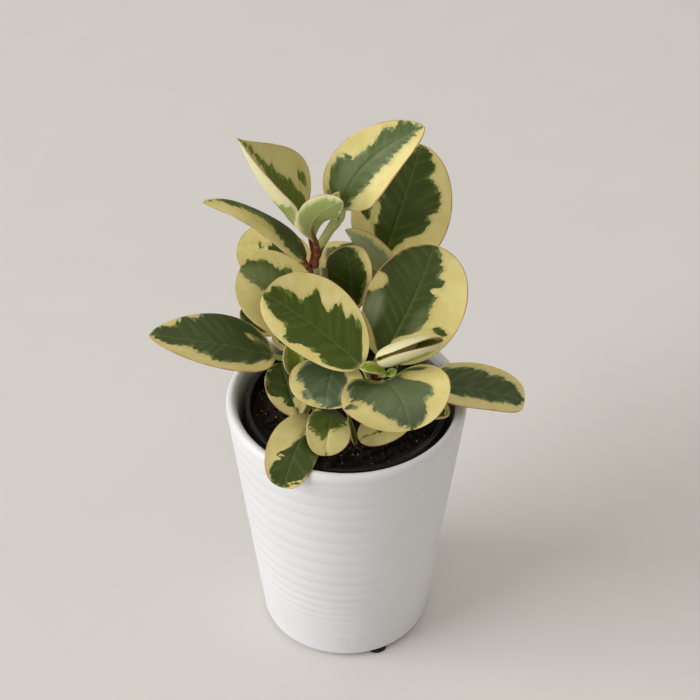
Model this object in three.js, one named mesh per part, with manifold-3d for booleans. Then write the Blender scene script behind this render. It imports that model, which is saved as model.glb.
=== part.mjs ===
// Potted peperomia: a variegated house plant on three short shoots, growing in a black nursery pot
// that stands inside a white ribbed ceramic pot on four small foot pads.
// Millimetres, +Z up, +X to the right and -Y towards the viewer. The origin is the middle of the
// ceramic pot's flat underside.
import * as THREE from "three";
import { mergeVertices } from "three/addons/utils/BufferGeometryUtils.js";
import Module from "manifold-3d";

const wasm = await Module();
wasm.setup();

// ---------------------------------------------------------------- driving dimensions
const CLEARANCE = 0.3;

const POT_HEIGHT = 156;
const POT_RIM_RADIUS = 65;
const POT_BASE_RADIUS = 47;
const POT_WALL = 6;
const POT_FLOOR = 7;
const POT_LIP = 4;
const POT_FOOT_CURVE = 4;
const POT_FOOT_STEPS = 3;
const POT_LIP_STEPS = 6;
const POT_SIDES = 40;

const RIB_TOP = 149.7;
const RIB_BOTTOM = 16;
const RIB_PITCH_TOP = 9.6;
const RIB_PITCH_BOTTOM = 3;
const RIB_PITCH_GROWTH = 0.1;
const RIB_DEPTH = 0.6;
const RIB_FOOT_SHARE = 0.3;
const RIB_FULL_HEIGHT = 55;

const PAD_RADIUS = 6;
const PAD_HEIGHT = 1.5;
const PAD_SIDES = 20;
const FOOT_PADS = [
  { name: "foot_pad_front", angle: -65, reach: 41.5 },
  { name: "foot_pad_right", angle: 20, reach: 38 },
  { name: "foot_pad_back", angle: 110, reach: 38 },
  { name: "foot_pad_left", angle: 200, reach: 38 },
];

const NURSERY_TOP = 151.5;
const NURSERY_RIM_RADIUS = 54.5;
const NURSERY_BASE_RADIUS = 38.5;
const NURSERY_WALL = 1.4;
const NURSERY_BAND = 12;
const NURSERY_BAND_STEP = 1.1;
const NURSERY_EDGE = 0.6;
const NURSERY_FOOT_EDGE = 1;
const NURSERY_SIDES = 40;
const DRAIN_COUNT = 6;
const DRAIN_RADIUS = 4;
const DRAIN_REACH = 26;
const DRAIN_SIDES = 12;

const SOIL_TOP = 143.5;
const SOIL_SIDES = 40;
const SOIL_RINGS = 9;
const SOIL_LUMP = 1.1;
const SOIL_EDGE_DROP = 1;
const GRAIN_COUNT = 46;
const GRAIN_SEED = 7414;
const GRAIN_REACH = 44;
const GRAIN_SIZE = [0.8, 2.1];
const GRAIN_SINK = 0.15;

const SHOOT_SIDES = 10;
const SHOOT_STEPS_PER_SPAN = 4;

const BLADE_THICKNESS = 1.1;
const MARGIN_THICKNESS = 0.8;
const TIP_HALF_WIDTH = 0.8;
const STALK_RADIUS = 1.5;
const STALK_EDGE = 0.35;
const STALK_RISE = 0.6;
const STALK_EASE = 0.35;
const RIB_FADE = 0.4;
const FOLD_FOOT_SHARE = 0.35;
const BLADE_ROWS = 8;
const BLADE_COLUMNS = 4;
const STALK_ROWS = 3;

// Each shoot is a tube through these points, from the bottom of its hole in the soil to its tip.
const SHOOTS = [
  {
    name: "main_stem", radius: 2.4,
    path: [[-5, 14, 119.8], [-8, 17, 160], [-12, 18, 200], [-17, 13, 236], [-10, 11, 256], [-4, 11, 266]],
  },
  {
    name: "right_shoot", radius: 2.3,
    path: [[8, 5, 119.8], [10, 2, 145], [13, -4, 164], [16, -11, 182]],
  },
  {
    name: "left_shoot", radius: 2.1,
    path: [[-13, 1, 119.8], [-15, 0, 142], [-19, -2, 156], [-24, -4, 168]],
  },
];

// A leaf's rib runs from the foot of its blade through a middle point to its tip. "face" is the
// way the upper side looks. "fold" is how far the left and right halves turn up at the margin, in
// degrees, seen from above with the tip away: at mid-blade, and where it differs, near the foot and
// at the tip. "ends" says how sharply the outline closes at foot and tip (0.5 is round, 1 straight),
// "lean" how much wider the right half is, and "root" the height on the shoot where the stalk
// starts, towards the blade's foot or, where given, the way that "leave" says.
const LEAVES = [
  {
    name: "leaf_upper_left", shoot: "main_stem", root: 242,
    rib: [[-22, 20, 261], [-40, 17, 285], [-54, 14, 312]], face: [0.6, -0.5, 0.55],
    width: 49, fold: [120, 8], ends: [0.5, 1.15],
  },
  {
    name: "leaf_long_left", shoot: "main_stem", root: 230,
    rib: [[-22, 8, 240], [-44, 4, 268.5], [-72, 3, 281]], face: [0.25, -0.45, 0.85],
    twist: 45, width: 16, lean: 0.3, fold: [-60, -25], foldTip: [-60, 20], ends: [0.3, 0.5],
  },
  {
    name: "leaf_young_centre", shoot: "main_stem", root: 235,
    rib: [[-16.5, 1, 259.5], [-16, -4, 276.5], [-2, -7, 289]], face: [-0.35, 0.84, -0.3],
    width: 19, fold: [20, 30], lean: 0, ends: [0.9, 0.6],
  },
  {
    name: "leaf_top", shoot: "main_stem", root: 263,
    rib: [[-2, 10, 272], [9, 12, 298], [38, 14, 319]], face: [-0.15, -0.73, 0.68],
    width: 34, fold: [15, 30], lean: 0.06, ends: [0.45, 0.6],
  },
  {
    name: "leaf_upper_right", shoot: "main_stem", root: 202, leave: [-0.1, 1],
    rib: [[19, 35, 223], [28, 38, 252], [38, 48, 286]], face: [0, -0.77, 0.64],
    width: 52, fold: [12, 12], foldFoot: [20, 100], lean: 0.03, ends: [0.45, 0.5],
  },
  {
    name: "leaf_folded_middle", shoot: "right_shoot", root: 168,
    rib: [[30, 20, 214], [14, 26, 234.5], [-1, 29, 245]], face: [-0.25, -0.6, 0.75],
    width: 14, fold: [10, 40], ends: [0.35, 0.7],
  },
  {
    name: "leaf_shaded_middle", shoot: "main_stem", root: 188,
    rib: [[2, 20, 197], [2, 20, 221], [-1, 22, 239.5]], face: [-0.1, -0.8, 0.5],
    width: 25, fold: [20, 20], ends: [0.6, 0.3],
  },
  {
    name: "leaf_right_large", shoot: "right_shoot", root: 172, leave: [0.5, 1],
    rib: [[18, -6, 187], [33, 6, 213], [45, 12, 248]], face: [0, -0.83, 0.56],
    width: 53, lean: 0.06, fold: [25, 10], ends: [0.5, 0.42],
  },
  {
    name: "leaf_rolled", shoot: "right_shoot", root: 177, leave: [1, 0.2],
    rib: [[18, -12, 191], [32, -14, 199], [50, -11, 204]], face: [0, -0.7, 0.72],
    width: 34, fold: [172, 172], foldTip: [155, 155], foldFoot: [168, 168], ends: [0.4, 0.5],
  },
  {
    name: "leaf_front_large", shoot: "right_shoot", root: 172,
    rib: [[8, -15, 189], [-18, -4, 208], [-43, 2, 224]], face: [0.05, -0.73, 0.68],
    width: 43, lean: 0.15, fold: [-45, 12], ends: [0.55, 0.5],
  },
  {
    name: "leaf_front_heart", shoot: "right_shoot", root: 165,
    rib: [[20, -16, 179], [28, -38, 187], [33, -51, 177]], face: [0, -0.3, 0.96],
    width: 58, fold: [10, 10], foldFoot: [25, 60], lean: 0.04, ends: [0.35, 0.5],
  },
  {
    name: "leaf_right_long", shoot: "right_shoot", root: 162,
    rib: [[45, -6, 167], [71, -7, 166], [95, -9, 160]], face: [0, -0.05, 1],
    width: 36, lean: -0.27, fold: [-10, -10], ends: [0.3, 0.28],
  },
  {
    name: "leaf_far_left", shoot: "main_stem", root: 168, leave: [-0.3, -1],
    rib: [[-38, 0, 183], [-70, -5, 196], [-103, -6, 202]], face: [0.1, -0.26, 0.93],
    width: 38, lean: 0.1, fold: [20, -10], ends: [0.5, 0.7],
  },
  {
    name: "leaf_left_middle", shoot: "main_stem", root: 195,
    rib: [[-13, 8, 191], [-36, 13, 215], [-56, 18, 228]], face: [0, -0.75, 0.66],
    width: 40, fold: [10, 10], ends: [0.45, 0.45],
  },
  {
    name: "leaf_left_back", shoot: "main_stem", root: 208,
    rib: [[-18, 26, 214], [-38, 32, 224], [-58, 36, 229]], face: [0, -0.5, 0.85],
    width: 34, fold: [10, 10], ends: [0.5, 0.45],
  },
  {
    name: "leaf_behind_front", shoot: "main_stem", root: 176,
    rib: [[-18, 15, 182], [-29, 18, 183], [-40, 21, 184]], face: [0, -0.43, 0.88],
    width: 22, fold: [10, 10], ends: [0.6, 0.5],
  },
  {
    name: "leaf_low_back_left", shoot: "main_stem", root: 165,
    rib: [[-34, 32, 175], [-46, 35, 179], [-58, 37, 184]], face: [0, -0.3, 0.95],
    width: 20, fold: [10, 10], ends: [0.6, 0.5],
  },
  {
    name: "leaf_young_left", shoot: "left_shoot", root: 167, leave: [0.3, 1],
    rib: [[-27, -2, 173], [-29, -1, 181], [-31, 2, 190]], face: [0.3, -0.56, 0.73],
    width: 14, fold: [55, 45], ends: [0.6, 0.6], stalk: 1,
  },
  {
    name: "leaf_low_left", shoot: "left_shoot", root: 151, leave: [-1, -1],
    rib: [[-25, -15, 153], [-30, -6, 162], [-35, 6, 174]], face: [-0.1, -0.33, 0.93],
    width: 24, fold: [10, 10], ends: [0.8, 0.4],
  },
  {
    name: "leaf_over_rim", shoot: "left_shoot", root: 147, leave: [-0.3, -1],
    rib: [[-15, -17, 153], [-24, -44, 163], [-32, -66, 150]], face: [0.05, -0.64, 0.76],
    width: 27, lean: 0.1, fold: [12, 10], ends: [0.7, 0.38],
  },
  {
    name: "leaf_front_blue", shoot: "main_stem", root: 156,
    rib: [[-5, 4, 180], [-9, -16, 180], [-11, -28, 171]], face: [0, -0.23, 0.97],
    width: 40, lean: 0.05, fold: [10, 10], ends: [0.65, 0.5],
  },
  {
    name: "leaf_front_drooping", shoot: "left_shoot", root: 146, leave: [1, -0.2],
    rib: [[-8, -18, 163], [-9, -41, 169], [-11, -51, 159]], face: [0.15, -0.6, 0.76],
    width: 24, fold: [0, 15], ends: [0.6, 0.45],
  },
  {
    name: "leaf_sliver", shoot: "right_shoot", root: 147,
    rib: [[1, -17, 158], [3, -25, 152], [5, -30, 147]], face: [1, -0.3, 0.2],
    width: 10, fold: [10, 10], ends: [0.6, 0.6], stalk: 0.9,
  },
  {
    name: "leaf_low_front", shoot: "right_shoot", root: 150,
    rib: [[33, -18, 154], [19, -26, 155], [7, -32, 152]], face: [0, -0.2, 0.94],
    width: 20, fold: [10, 10], ends: [0.5, 0.5],
  },
  {
    name: "leaf_low_right", shoot: "right_shoot", root: 154,
    rib: [[35, -14, 158], [46, -15, 160], [55, -14, 158]], face: [0, -0.2, 0.94],
    width: 16, fold: [10, 10], ends: [0.5, 0.5],
  },
  {
    name: "leaf_back_right", shoot: "main_stem", root: 186, leave: [0.6, 1],
    rib: [[5, 41, 196], [20, 53, 208], [38, 63, 214]], face: [-0.2, 0.1, 0.95],
    width: 38, fold: [15, 15], ends: [0.6, 0.5],
  },
  {
    name: "leaf_back_left", shoot: "main_stem", root: 182, leave: [-0.6, 1],
    rib: [[-26, 42, 198], [-38, 58, 206], [-50, 74, 205]], face: [0.1, 0, 1],
    width: 36, fold: [10, 10], ends: [0.6, 0.5],
  },
  {
    name: "leaf_back_centre", shoot: "main_stem", root: 176,
    rib: [[-4, 42, 188], [0, 64, 197], [4, 86, 194]], face: [0, 0.1, 1],
    width: 38, fold: [10, 10], ends: [0.6, 0.5],
  },
  {
    name: "leaf_back_low", shoot: "right_shoot", root: 160,
    rib: [[20, 24, 172], [32, 42, 182], [44, 60, 186]], face: [-0.1, 0, 1],
    width: 34, fold: [10, 10], ends: [0.6, 0.5],
  },
];

// The closed buds and the leaf that unfolds from one grow out of a shoot's tip, in one body with it.
const BUDS = [
  {
    shoot: "main_stem", root: 262,
    rib: [[-6, 10, 270], [-6, 9, 277], [-4, 8, 284]], face: [-0.4, -0.7, 0.5],
    width: 7, fold: [30, 30], ends: [0.6, 0.7], stalk: 1.2,
  },
  {
    shoot: "right_shoot", root: 179,
    rib: [[21, -16, 184], [24, -17, 187], [26, -18, 189]], face: [0.3, -0.6, 0.7],
    width: 5, fold: [30, 30], ends: [0.6, 0.7], stalk: 1,
  },
  {
    shoot: "right_shoot", root: 178,
    rib: [[20, -17, 187], [13, -19, 191], [7, -21, 193]], face: [0, -0.2, 0.94],
    width: 9, fold: [30, 30], ends: [0.5, 0.6], stalk: 0.9,
  },
];

// ---------------------------------------------------------------- helpers
function point(list) {
  return new THREE.Vector3(list[0], list[1], list[2]);
}

function lerp(from, to, share) {
  return from + (to - from) * share;
}

// Mulberry32: the same small stream of numbers on every run.
function seededRandom(seed) {
  let state = seed >>> 0;
  return () => {
    state = (state + 0x6d2b79f5) >>> 0;
    let mixed = Math.imul(state ^ (state >>> 15), state | 1);
    mixed ^= mixed + Math.imul(mixed ^ (mixed >>> 7), mixed | 61);
    return ((mixed ^ (mixed >>> 14)) >>> 0) / 4294967296;
  };
}

function toSolid(geometry) {
  const bare = geometry.clone();
  bare.deleteAttribute("normal");
  bare.deleteAttribute("uv");
  const merged = mergeVertices(bare, 1e-4);
  return new wasm.Manifold(new wasm.Mesh({
    numProp: 3,
    vertProperties: new Float32Array(merged.attributes.position.array),
    triVerts: new Uint32Array(merged.index.array),
  }));
}

function toGeometry(solid) {
  const mesh = solid.getMesh();
  const geometry = new THREE.BufferGeometry();
  geometry.setAttribute("position", new THREE.BufferAttribute(new Float32Array(mesh.vertProperties), 3));
  geometry.setIndex(new THREE.BufferAttribute(new Uint32Array(mesh.triVerts), 1));
  geometry.computeVertexNormals();
  return geometry;
}

function largestBody(solid) {
  return solid.decompose().sort((one, other) => other.volume() - one.volume())[0];
}

function lathe(profile, sides) {
  const geometry = new THREE.LatheGeometry(profile, sides);
  geometry.rotateX(Math.PI / 2);
  return geometry;
}

function cylinder(radius, low, high, sides, x, y) {
  const geometry = new THREE.CylinderGeometry(radius, radius, high - low, sides);
  geometry.rotateX(Math.PI / 2);
  geometry.translate(x, y, (low + high) / 2);
  return geometry;
}

function material(color, roughness) {
  return new THREE.MeshStandardMaterial({ color, roughness, metalness: 0 });
}

// ---------------------------------------------------------------- ceramic pot
function potRadius(z) {
  return lerp(POT_BASE_RADIUS, POT_RIM_RADIUS, z / (POT_HEIGHT - POT_LIP));
}

// The grooves between the ribs stand closer together towards the foot.
function grooveHeights() {
  const heights = [];
  let z = RIB_TOP;
  while (z > RIB_BOTTOM) {
    heights.push(z);
    z -= Math.min(RIB_PITCH_TOP, RIB_PITCH_BOTTOM + RIB_PITCH_GROWTH * (z - RIB_BOTTOM));
  }
  return heights.reverse();
}

// The ribs grow fainter towards the plain band at the foot.
function grooveDepth(z) {
  const full = THREE.MathUtils.smoothstep(z, RIB_BOTTOM, RIB_FULL_HEIGHT);
  return RIB_DEPTH * lerp(RIB_FOOT_SHARE, 1, full);
}

function ceramicPot() {
  const profile = [new THREE.Vector2(0, 0)];
  for (let step = 0; step <= POT_FOOT_STEPS; step += 1) {
    const turn = (Math.PI / 2) * (step / POT_FOOT_STEPS);
    profile.push(new THREE.Vector2(
      potRadius(POT_FOOT_CURVE) - POT_FOOT_CURVE * (1 - Math.sin(turn)),
      POT_FOOT_CURVE * (1 - Math.cos(turn)),
    ));
  }
  const grooves = grooveHeights();
  grooves.forEach((z, index) => {
    profile.push(new THREE.Vector2(potRadius(z) - grooveDepth(z), z));
    if (index === grooves.length - 1) return;
    const crest = (z + grooves[index + 1]) / 2;
    profile.push(new THREE.Vector2(potRadius(crest), crest));
  });
  const lipMiddle = POT_RIM_RADIUS - POT_WALL / 2;
  for (let step = 0; step <= POT_LIP_STEPS; step += 1) {
    const turn = Math.PI * (step / POT_LIP_STEPS);
    profile.push(new THREE.Vector2(
      lipMiddle + (POT_WALL / 2) * Math.cos(turn),
      POT_HEIGHT - POT_LIP + POT_LIP * Math.sin(turn),
    ));
  }
  profile.push(new THREE.Vector2(potRadius(POT_FLOOR) - POT_WALL, POT_FLOOR));
  profile.push(new THREE.Vector2(0, POT_FLOOR));
  return lathe(profile, POT_SIDES);
}

function footPad(pad) {
  const angle = THREE.MathUtils.degToRad(pad.angle);
  const x = pad.reach * Math.cos(angle);
  const y = pad.reach * Math.sin(angle);
  return cylinder(PAD_RADIUS, -PAD_HEIGHT, 0, PAD_SIDES, x, y);
}

// ---------------------------------------------------------------- nursery pot and soil
const NURSERY_LOW = POT_FLOOR + CLEARANCE;

function nurseryOuter(z) {
  const top = NURSERY_RIM_RADIUS - NURSERY_BAND_STEP;
  return lerp(NURSERY_BASE_RADIUS, top, (z - NURSERY_LOW) / (NURSERY_TOP - NURSERY_LOW));
}

function nurseryPot() {
  const bandLow = NURSERY_TOP - NURSERY_BAND;
  const rimInner = NURSERY_RIM_RADIUS - NURSERY_WALL - NURSERY_EDGE;
  const profile = [
    new THREE.Vector2(0, NURSERY_LOW),
    new THREE.Vector2(NURSERY_BASE_RADIUS - NURSERY_FOOT_EDGE, NURSERY_LOW),
    new THREE.Vector2(NURSERY_BASE_RADIUS, NURSERY_LOW + NURSERY_FOOT_EDGE),
    new THREE.Vector2(nurseryOuter(bandLow), bandLow),
    new THREE.Vector2(NURSERY_RIM_RADIUS - NURSERY_EDGE, bandLow + NURSERY_EDGE),
    new THREE.Vector2(NURSERY_RIM_RADIUS, NURSERY_TOP - NURSERY_EDGE),
    new THREE.Vector2(NURSERY_RIM_RADIUS - NURSERY_EDGE, NURSERY_TOP),
    new THREE.Vector2(rimInner, NURSERY_TOP),
    new THREE.Vector2(rimInner - NURSERY_EDGE, NURSERY_TOP - NURSERY_EDGE),
    new THREE.Vector2(nurseryOuter(bandLow) - NURSERY_WALL, bandLow),
    new THREE.Vector2(NURSERY_BASE_RADIUS - NURSERY_WALL, NURSERY_LOW + NURSERY_WALL),
    new THREE.Vector2(0, NURSERY_LOW + NURSERY_WALL),
  ];
  let solid = toSolid(lathe(profile, NURSERY_SIDES));
  for (let hole = 0; hole < DRAIN_COUNT; hole += 1) {
    const angle = (2 * Math.PI * hole) / DRAIN_COUNT;
    const x = DRAIN_REACH * Math.cos(angle);
    const y = DRAIN_REACH * Math.sin(angle);
    const floorTop = NURSERY_LOW + NURSERY_WALL;
    const hollow = cylinder(DRAIN_RADIUS, NURSERY_LOW - 1, floorTop + 1, DRAIN_SIDES, x, y);
    solid = solid.subtract(toSolid(hollow));
  }
  return toGeometry(solid);
}

// The soil's surface rolls by a sum of waves, higher in the middle than at the wall.
function soilHeight(x, y) {
  const roll = Math.sin(x * 0.31 + 1.3) * Math.cos(y * 0.27) + 0.6 * Math.sin(x * 0.55 - y * 0.62);
  const dome = 1 - Math.hypot(x, y) / NURSERY_RIM_RADIUS;
  return SOIL_TOP + SOIL_LUMP * roll + dome;
}

function soilBody() {
  const low = NURSERY_LOW + NURSERY_WALL + CLEARANCE;
  const wallRadius = (z) => nurseryOuter(z) - NURSERY_WALL - CLEARANCE;
  const vertices = [0, 0, soilHeight(0, 0)];
  const ringStart = (ring) => 1 + ring * SOIL_SIDES;
  for (let ring = 0; ring < SOIL_RINGS; ring += 1) {
    const radius = wallRadius(SOIL_TOP) * ((ring + 1) / SOIL_RINGS);
    for (let side = 0; side < SOIL_SIDES; side += 1) {
      const angle = (2 * Math.PI * side) / SOIL_SIDES;
      const x = radius * Math.cos(angle);
      const y = radius * Math.sin(angle);
      const z = ring === SOIL_RINGS - 1 ? SOIL_TOP - SOIL_EDGE_DROP : soilHeight(x, y);
      vertices.push(x, y, z);
    }
  }
  for (let side = 0; side < SOIL_SIDES; side += 1) {
    const angle = (2 * Math.PI * side) / SOIL_SIDES;
    vertices.push(wallRadius(low) * Math.cos(angle), wallRadius(low) * Math.sin(angle), low);
  }
  vertices.push(0, 0, low);
  const bottom = vertices.length / 3 - 1;
  const faces = [];
  for (let side = 0; side < SOIL_SIDES; side += 1) {
    const next = (side + 1) % SOIL_SIDES;
    faces.push(0, ringStart(0) + side, ringStart(0) + next);
    for (let ring = 0; ring < SOIL_RINGS; ring += 1) {
      const inner = ringStart(ring);
      const outer = ringStart(ring + 1);
      faces.push(inner + side, outer + side, outer + next, inner + side, outer + next, inner + next);
    }
    faces.push(bottom, ringStart(SOIL_RINGS) + next, ringStart(SOIL_RINGS) + side);
  }
  const geometry = new THREE.BufferGeometry();
  geometry.setAttribute("position", new THREE.Float32BufferAttribute(vertices, 3));
  geometry.setIndex(faces);
  return toSolid(geometry);
}

// The soil with the pale grains that stand out of it, and a hole for each shoot.
function soil() {
  const random = seededRandom(GRAIN_SEED);
  let solid = soilBody();
  for (let grain = 0; grain < GRAIN_COUNT; grain += 1) {
    const angle = 2 * Math.PI * random();
    const reach = GRAIN_REACH * Math.sqrt(random());
    const size = lerp(GRAIN_SIZE[0], GRAIN_SIZE[1], random());
    const x = reach * Math.cos(angle);
    const y = reach * Math.sin(angle);
    const lump = new THREE.OctahedronGeometry(size);
    lump.rotateZ(random() * Math.PI);
    lump.translate(x, y, soilHeight(x, y) - GRAIN_SINK * size);
    solid = solid.add(toSolid(lump));
  }
  for (const shoot of SHOOTS) {
    solid = solid.subtract(toSolid(shootTube(shoot, shoot.radius + CLEARANCE, CLEARANCE)));
  }
  return toGeometry(largestBody(solid));
}

// ---------------------------------------------------------------- shoots
function shootCurve(shoot) {
  return new THREE.CatmullRomCurve3(shoot.path.map(point));
}

// The shoot's tube, made longer at both ends where it is used to cut its own clearance.
function shootTube(shoot, radius, longer) {
  const path = shoot.path.map(point);
  const last = path.length - 1;
  path[0].z -= longer;
  path[last].addScaledVector(path[last].clone().sub(path[last - 1]).normalize(), longer);
  const section = new THREE.Shape();
  for (let side = 0; side < SHOOT_SIDES; side += 1) {
    const angle = (2 * Math.PI * side) / SHOOT_SIDES;
    const x = radius * Math.cos(angle);
    const y = radius * Math.sin(angle);
    if (side === 0) section.moveTo(x, y);
    else section.lineTo(x, y);
  }
  const extrudePath = new THREE.CatmullRomCurve3(path);
  return new THREE.ExtrudeGeometry(section, { steps: SHOOT_STEPS_PER_SPAN * last, extrudePath });
}

// The point of the shoot's middle line at height z, found by halving.
function shootAxisAt(shoot, z) {
  const curve = shootCurve(shoot);
  let low = 0;
  let high = 1;
  for (let step = 0; step < 30; step += 1) {
    const middle = (low + high) / 2;
    if (curve.getPoint(middle).z < z) low = middle;
    else high = middle;
  }
  return curve.getPoint((low + high) / 2);
}

// ---------------------------------------------------------------- leaves
// Half the blade's width as a share of its full half width, from foot (u = 0) to tip (u = 1).
function bladeOutline(u, [footPower, tipPower]) {
  const widest = footPower / (footPower + tipPower);
  return (u / widest) ** footPower * ((1 - u) / (1 - widest)) ** tipPower;
}

// The left and right folds at u, eased from the foot's to the middle's and on to the tip's.
function foldAt(spec, u) {
  const middle = spec.fold;
  const foot = spec.foldFoot ?? [middle[0] * 0.5, middle[1] * 0.5];
  const tip = spec.foldTip ?? middle;
  const near = THREE.MathUtils.smoothstep(u, 0, FOLD_FOOT_SHARE);
  const far = THREE.MathUtils.smoothstep(u, FOLD_FOOT_SHARE, 1);
  return [0, 1].map((half) => lerp(lerp(foot[half], middle[half], near), tip[half], far));
}

// One closed ring round the leaf: the upper side from left to right, then the lower side back.
// Each half of the section is an arc that turns by its fold between the rib and the margin.
function leafRing(centre, side, up, halves, folds, middle, edge) {
  const upper = [];
  const lower = [];
  for (let column = 0; column <= BLADE_COLUMNS; column += 1) {
    const v = (2 * column) / BLADE_COLUMNS - 1;
    const hand = v < 0 ? 0 : 1;
    const turn = THREE.MathUtils.degToRad(folds[hand]) * Math.abs(v);
    const arc = halves[hand] * Math.abs(v);
    const across = Math.abs(turn) < 0.01 ? arc : (arc * Math.sin(turn)) / turn;
    const lift = Math.abs(turn) < 0.01 ? 0 : (arc * (1 - Math.cos(turn))) / turn;
    const thick = lerp(edge, middle, Math.sqrt(1 - v * v));
    const outward = Math.sign(v);
    const spot = centre.clone().addScaledVector(side, across * outward).addScaledVector(up, lift);
    const normal = up.clone().multiplyScalar(Math.cos(turn));
    normal.addScaledVector(side, -Math.sin(turn) * outward);
    upper.push(spot.clone().addScaledVector(normal, thick));
    lower.push(spot.clone().addScaledVector(normal, -thick));
  }
  return upper.concat(lower.reverse());
}

function ringsToGeometry(rings) {
  const count = rings[0].length;
  const vertices = [];
  rings.forEach((ring) => ring.forEach((spot) => vertices.push(spot.x, spot.y, spot.z)));
  const faces = [];
  for (let row = 0; row + 1 < rings.length; row += 1) {
    for (let index = 0; index < count; index += 1) {
      const near = row * count + index;
      const nearNext = row * count + ((index + 1) % count);
      const far = near + count;
      const farNext = nearNext + count;
      const isLower = index > BLADE_COLUMNS;
      if (isLower) faces.push(near, nearNext, far, nearNext, farNext, far);
      else faces.push(near, farNext, far, near, nearNext, farNext);
    }
  }
  const last = (rings.length - 1) * count;
  for (let column = 0; column < BLADE_COLUMNS; column += 1) {
    const back = count - 1 - column;
    faces.push(column, back, column + 1, column + 1, back, back - 1);
    faces.push(last + column, last + column + 1, last + back);
    faces.push(last + column + 1, last + back - 1, last + back);
  }
  const geometry = new THREE.BufferGeometry();
  geometry.setAttribute("position", new THREE.Float32BufferAttribute(vertices, 3));
  geometry.setIndex(faces);
  geometry.computeVertexNormals();
  return geometry;
}

function perpendicular(vector, direction) {
  return vector.clone().addScaledVector(direction, -vector.dot(direction)).normalize();
}

// The whole leaf or bud, from inside its shoot to its tip.
function leafSolid(spec) {
  const shoot = SHOOTS.find((entry) => entry.name === spec.shoot);
  const [foot, middle, tip] = spec.rib.map(point);
  const control = middle.clone().multiplyScalar(2).addScaledVector(foot, -0.5).addScaledVector(tip, -0.5);
  const rib = new THREE.QuadraticBezierCurve3(foot, control, tip);
  const face = point(spec.face).normalize();
  const stalk = spec.stalk ?? STALK_RADIUS;
  const rings = [];

  const axis = shootAxisAt(shoot, spec.root);
  const heading = spec.leave ?? [foot.x - axis.x, foot.y - axis.y];
  const outward = new THREE.Vector3(heading[0], heading[1], 0).normalize().setZ(STALK_RISE).normalize();
  const start = axis.clone().addScaledVector(outward, shoot.radius / 2);
  const span = foot.distanceTo(start);
  const ribStart = rib.getTangent(0);
  const stalkCurve = new THREE.CubicBezierCurve3(
    start,
    start.clone().addScaledVector(outward, span * STALK_EASE),
    foot.clone().addScaledVector(ribStart, -span * STALK_EASE),
    foot,
  );
  let up = perpendicular(face, ribStart);
  const stalkRings = [];
  for (let row = STALK_ROWS - 1; row >= 0; row -= 1) {
    const share = row / STALK_ROWS;
    const direction = stalkCurve.getTangent(share);
    up = perpendicular(up, direction);
    const side = direction.clone().cross(up);
    const centre = stalkCurve.getPoint(share);
    stalkRings.push(leafRing(centre, side, up, [stalk, stalk], [0, 0], stalk, STALK_EDGE));
  }
  rings.push(...stalkRings.reverse());

  for (let row = 0; row <= BLADE_ROWS; row += 1) {
    const u = (1 - Math.cos((Math.PI * row) / BLADE_ROWS)) / 2;
    const direction = rib.getTangent(u);
    const turn = THREE.MathUtils.degToRad(spec.twist ?? 0) * u;
    const bladeUp = perpendicular(face, direction).applyAxisAngle(direction, turn);
    const side = direction.clone().cross(bladeUp);
    const least = row === 0 ? stalk : TIP_HALF_WIDTH;
    const half = Math.max((spec.width / 2) * bladeOutline(u, spec.ends), least);
    const lean = spec.lean ?? 0;
    const rise = lerp(stalk, BLADE_THICKNESS / 2, Math.min(1, u / RIB_FADE));
    const halves = [half * (1 - lean), half * (1 + lean)];
    const centre = rib.getPoint(u);
    rings.push(leafRing(centre, side, bladeUp, halves, foldAt(spec, u), rise, MARGIN_THICKNESS / 2));
  }
  return toSolid(ringsToGeometry(rings));
}

// A leaf stands just clear of its shoot, and a bud is fused to it.
function leaf(spec) {
  const shoot = SHOOTS.find((entry) => entry.name === spec.shoot);
  const clearance = toSolid(shootTube(shoot, shoot.radius + CLEARANCE, 1));
  return toGeometry(largestBody(leafSolid(spec).subtract(clearance)));
}

function shootWithBud(shoot) {
  let solid = toSolid(shootTube(shoot, shoot.radius, 0));
  for (const bud of BUDS.filter((entry) => entry.shoot === shoot.name)) solid = solid.add(leafSolid(bud));
  return toGeometry(solid);
}

// ---------------------------------------------------------------- the plant in its pot
const ceramic = material(0xf1f0ec, 0.35);
const blackPlastic = material(0x141414, 0.4);
const padBlack = material(0x0b0b0b, 0.9);
const soilBrown = material(0x2b1d15, 0.95);
const stemGreen = material(0x6f8a3a, 0.5);
const leafGreen = material(0x5f7a3c, 0.4);

const group = new THREE.Group();

function addPiece(name, geometry, surface) {
  const mesh = new THREE.Mesh(geometry, surface.clone());
  mesh.name = name;
  group.add(mesh);
}

addPiece("ceramic_pot", ceramicPot(), ceramic);
FOOT_PADS.forEach((pad) => addPiece(pad.name, footPad(pad), padBlack));
addPiece("nursery_pot", nurseryPot(), blackPlastic);
addPiece("soil", soil(), soilBrown);
SHOOTS.forEach((shoot) => addPiece(shoot.name, shootWithBud(shoot), stemGreen));
LEAVES.forEach((spec) => addPiece(spec.name, leaf(spec), leafGreen));

export default group;
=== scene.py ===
"""The looks of a potted variegated peperomia: glazed ribbed pot, nursery pot, soil, shoots and leaves.

Sizes are in millimetres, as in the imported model, and become metres when a mesh is made.
"""
import math
import bmesh
import bpy
import numpy as np
from mathutils import Matrix, Vector


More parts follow.
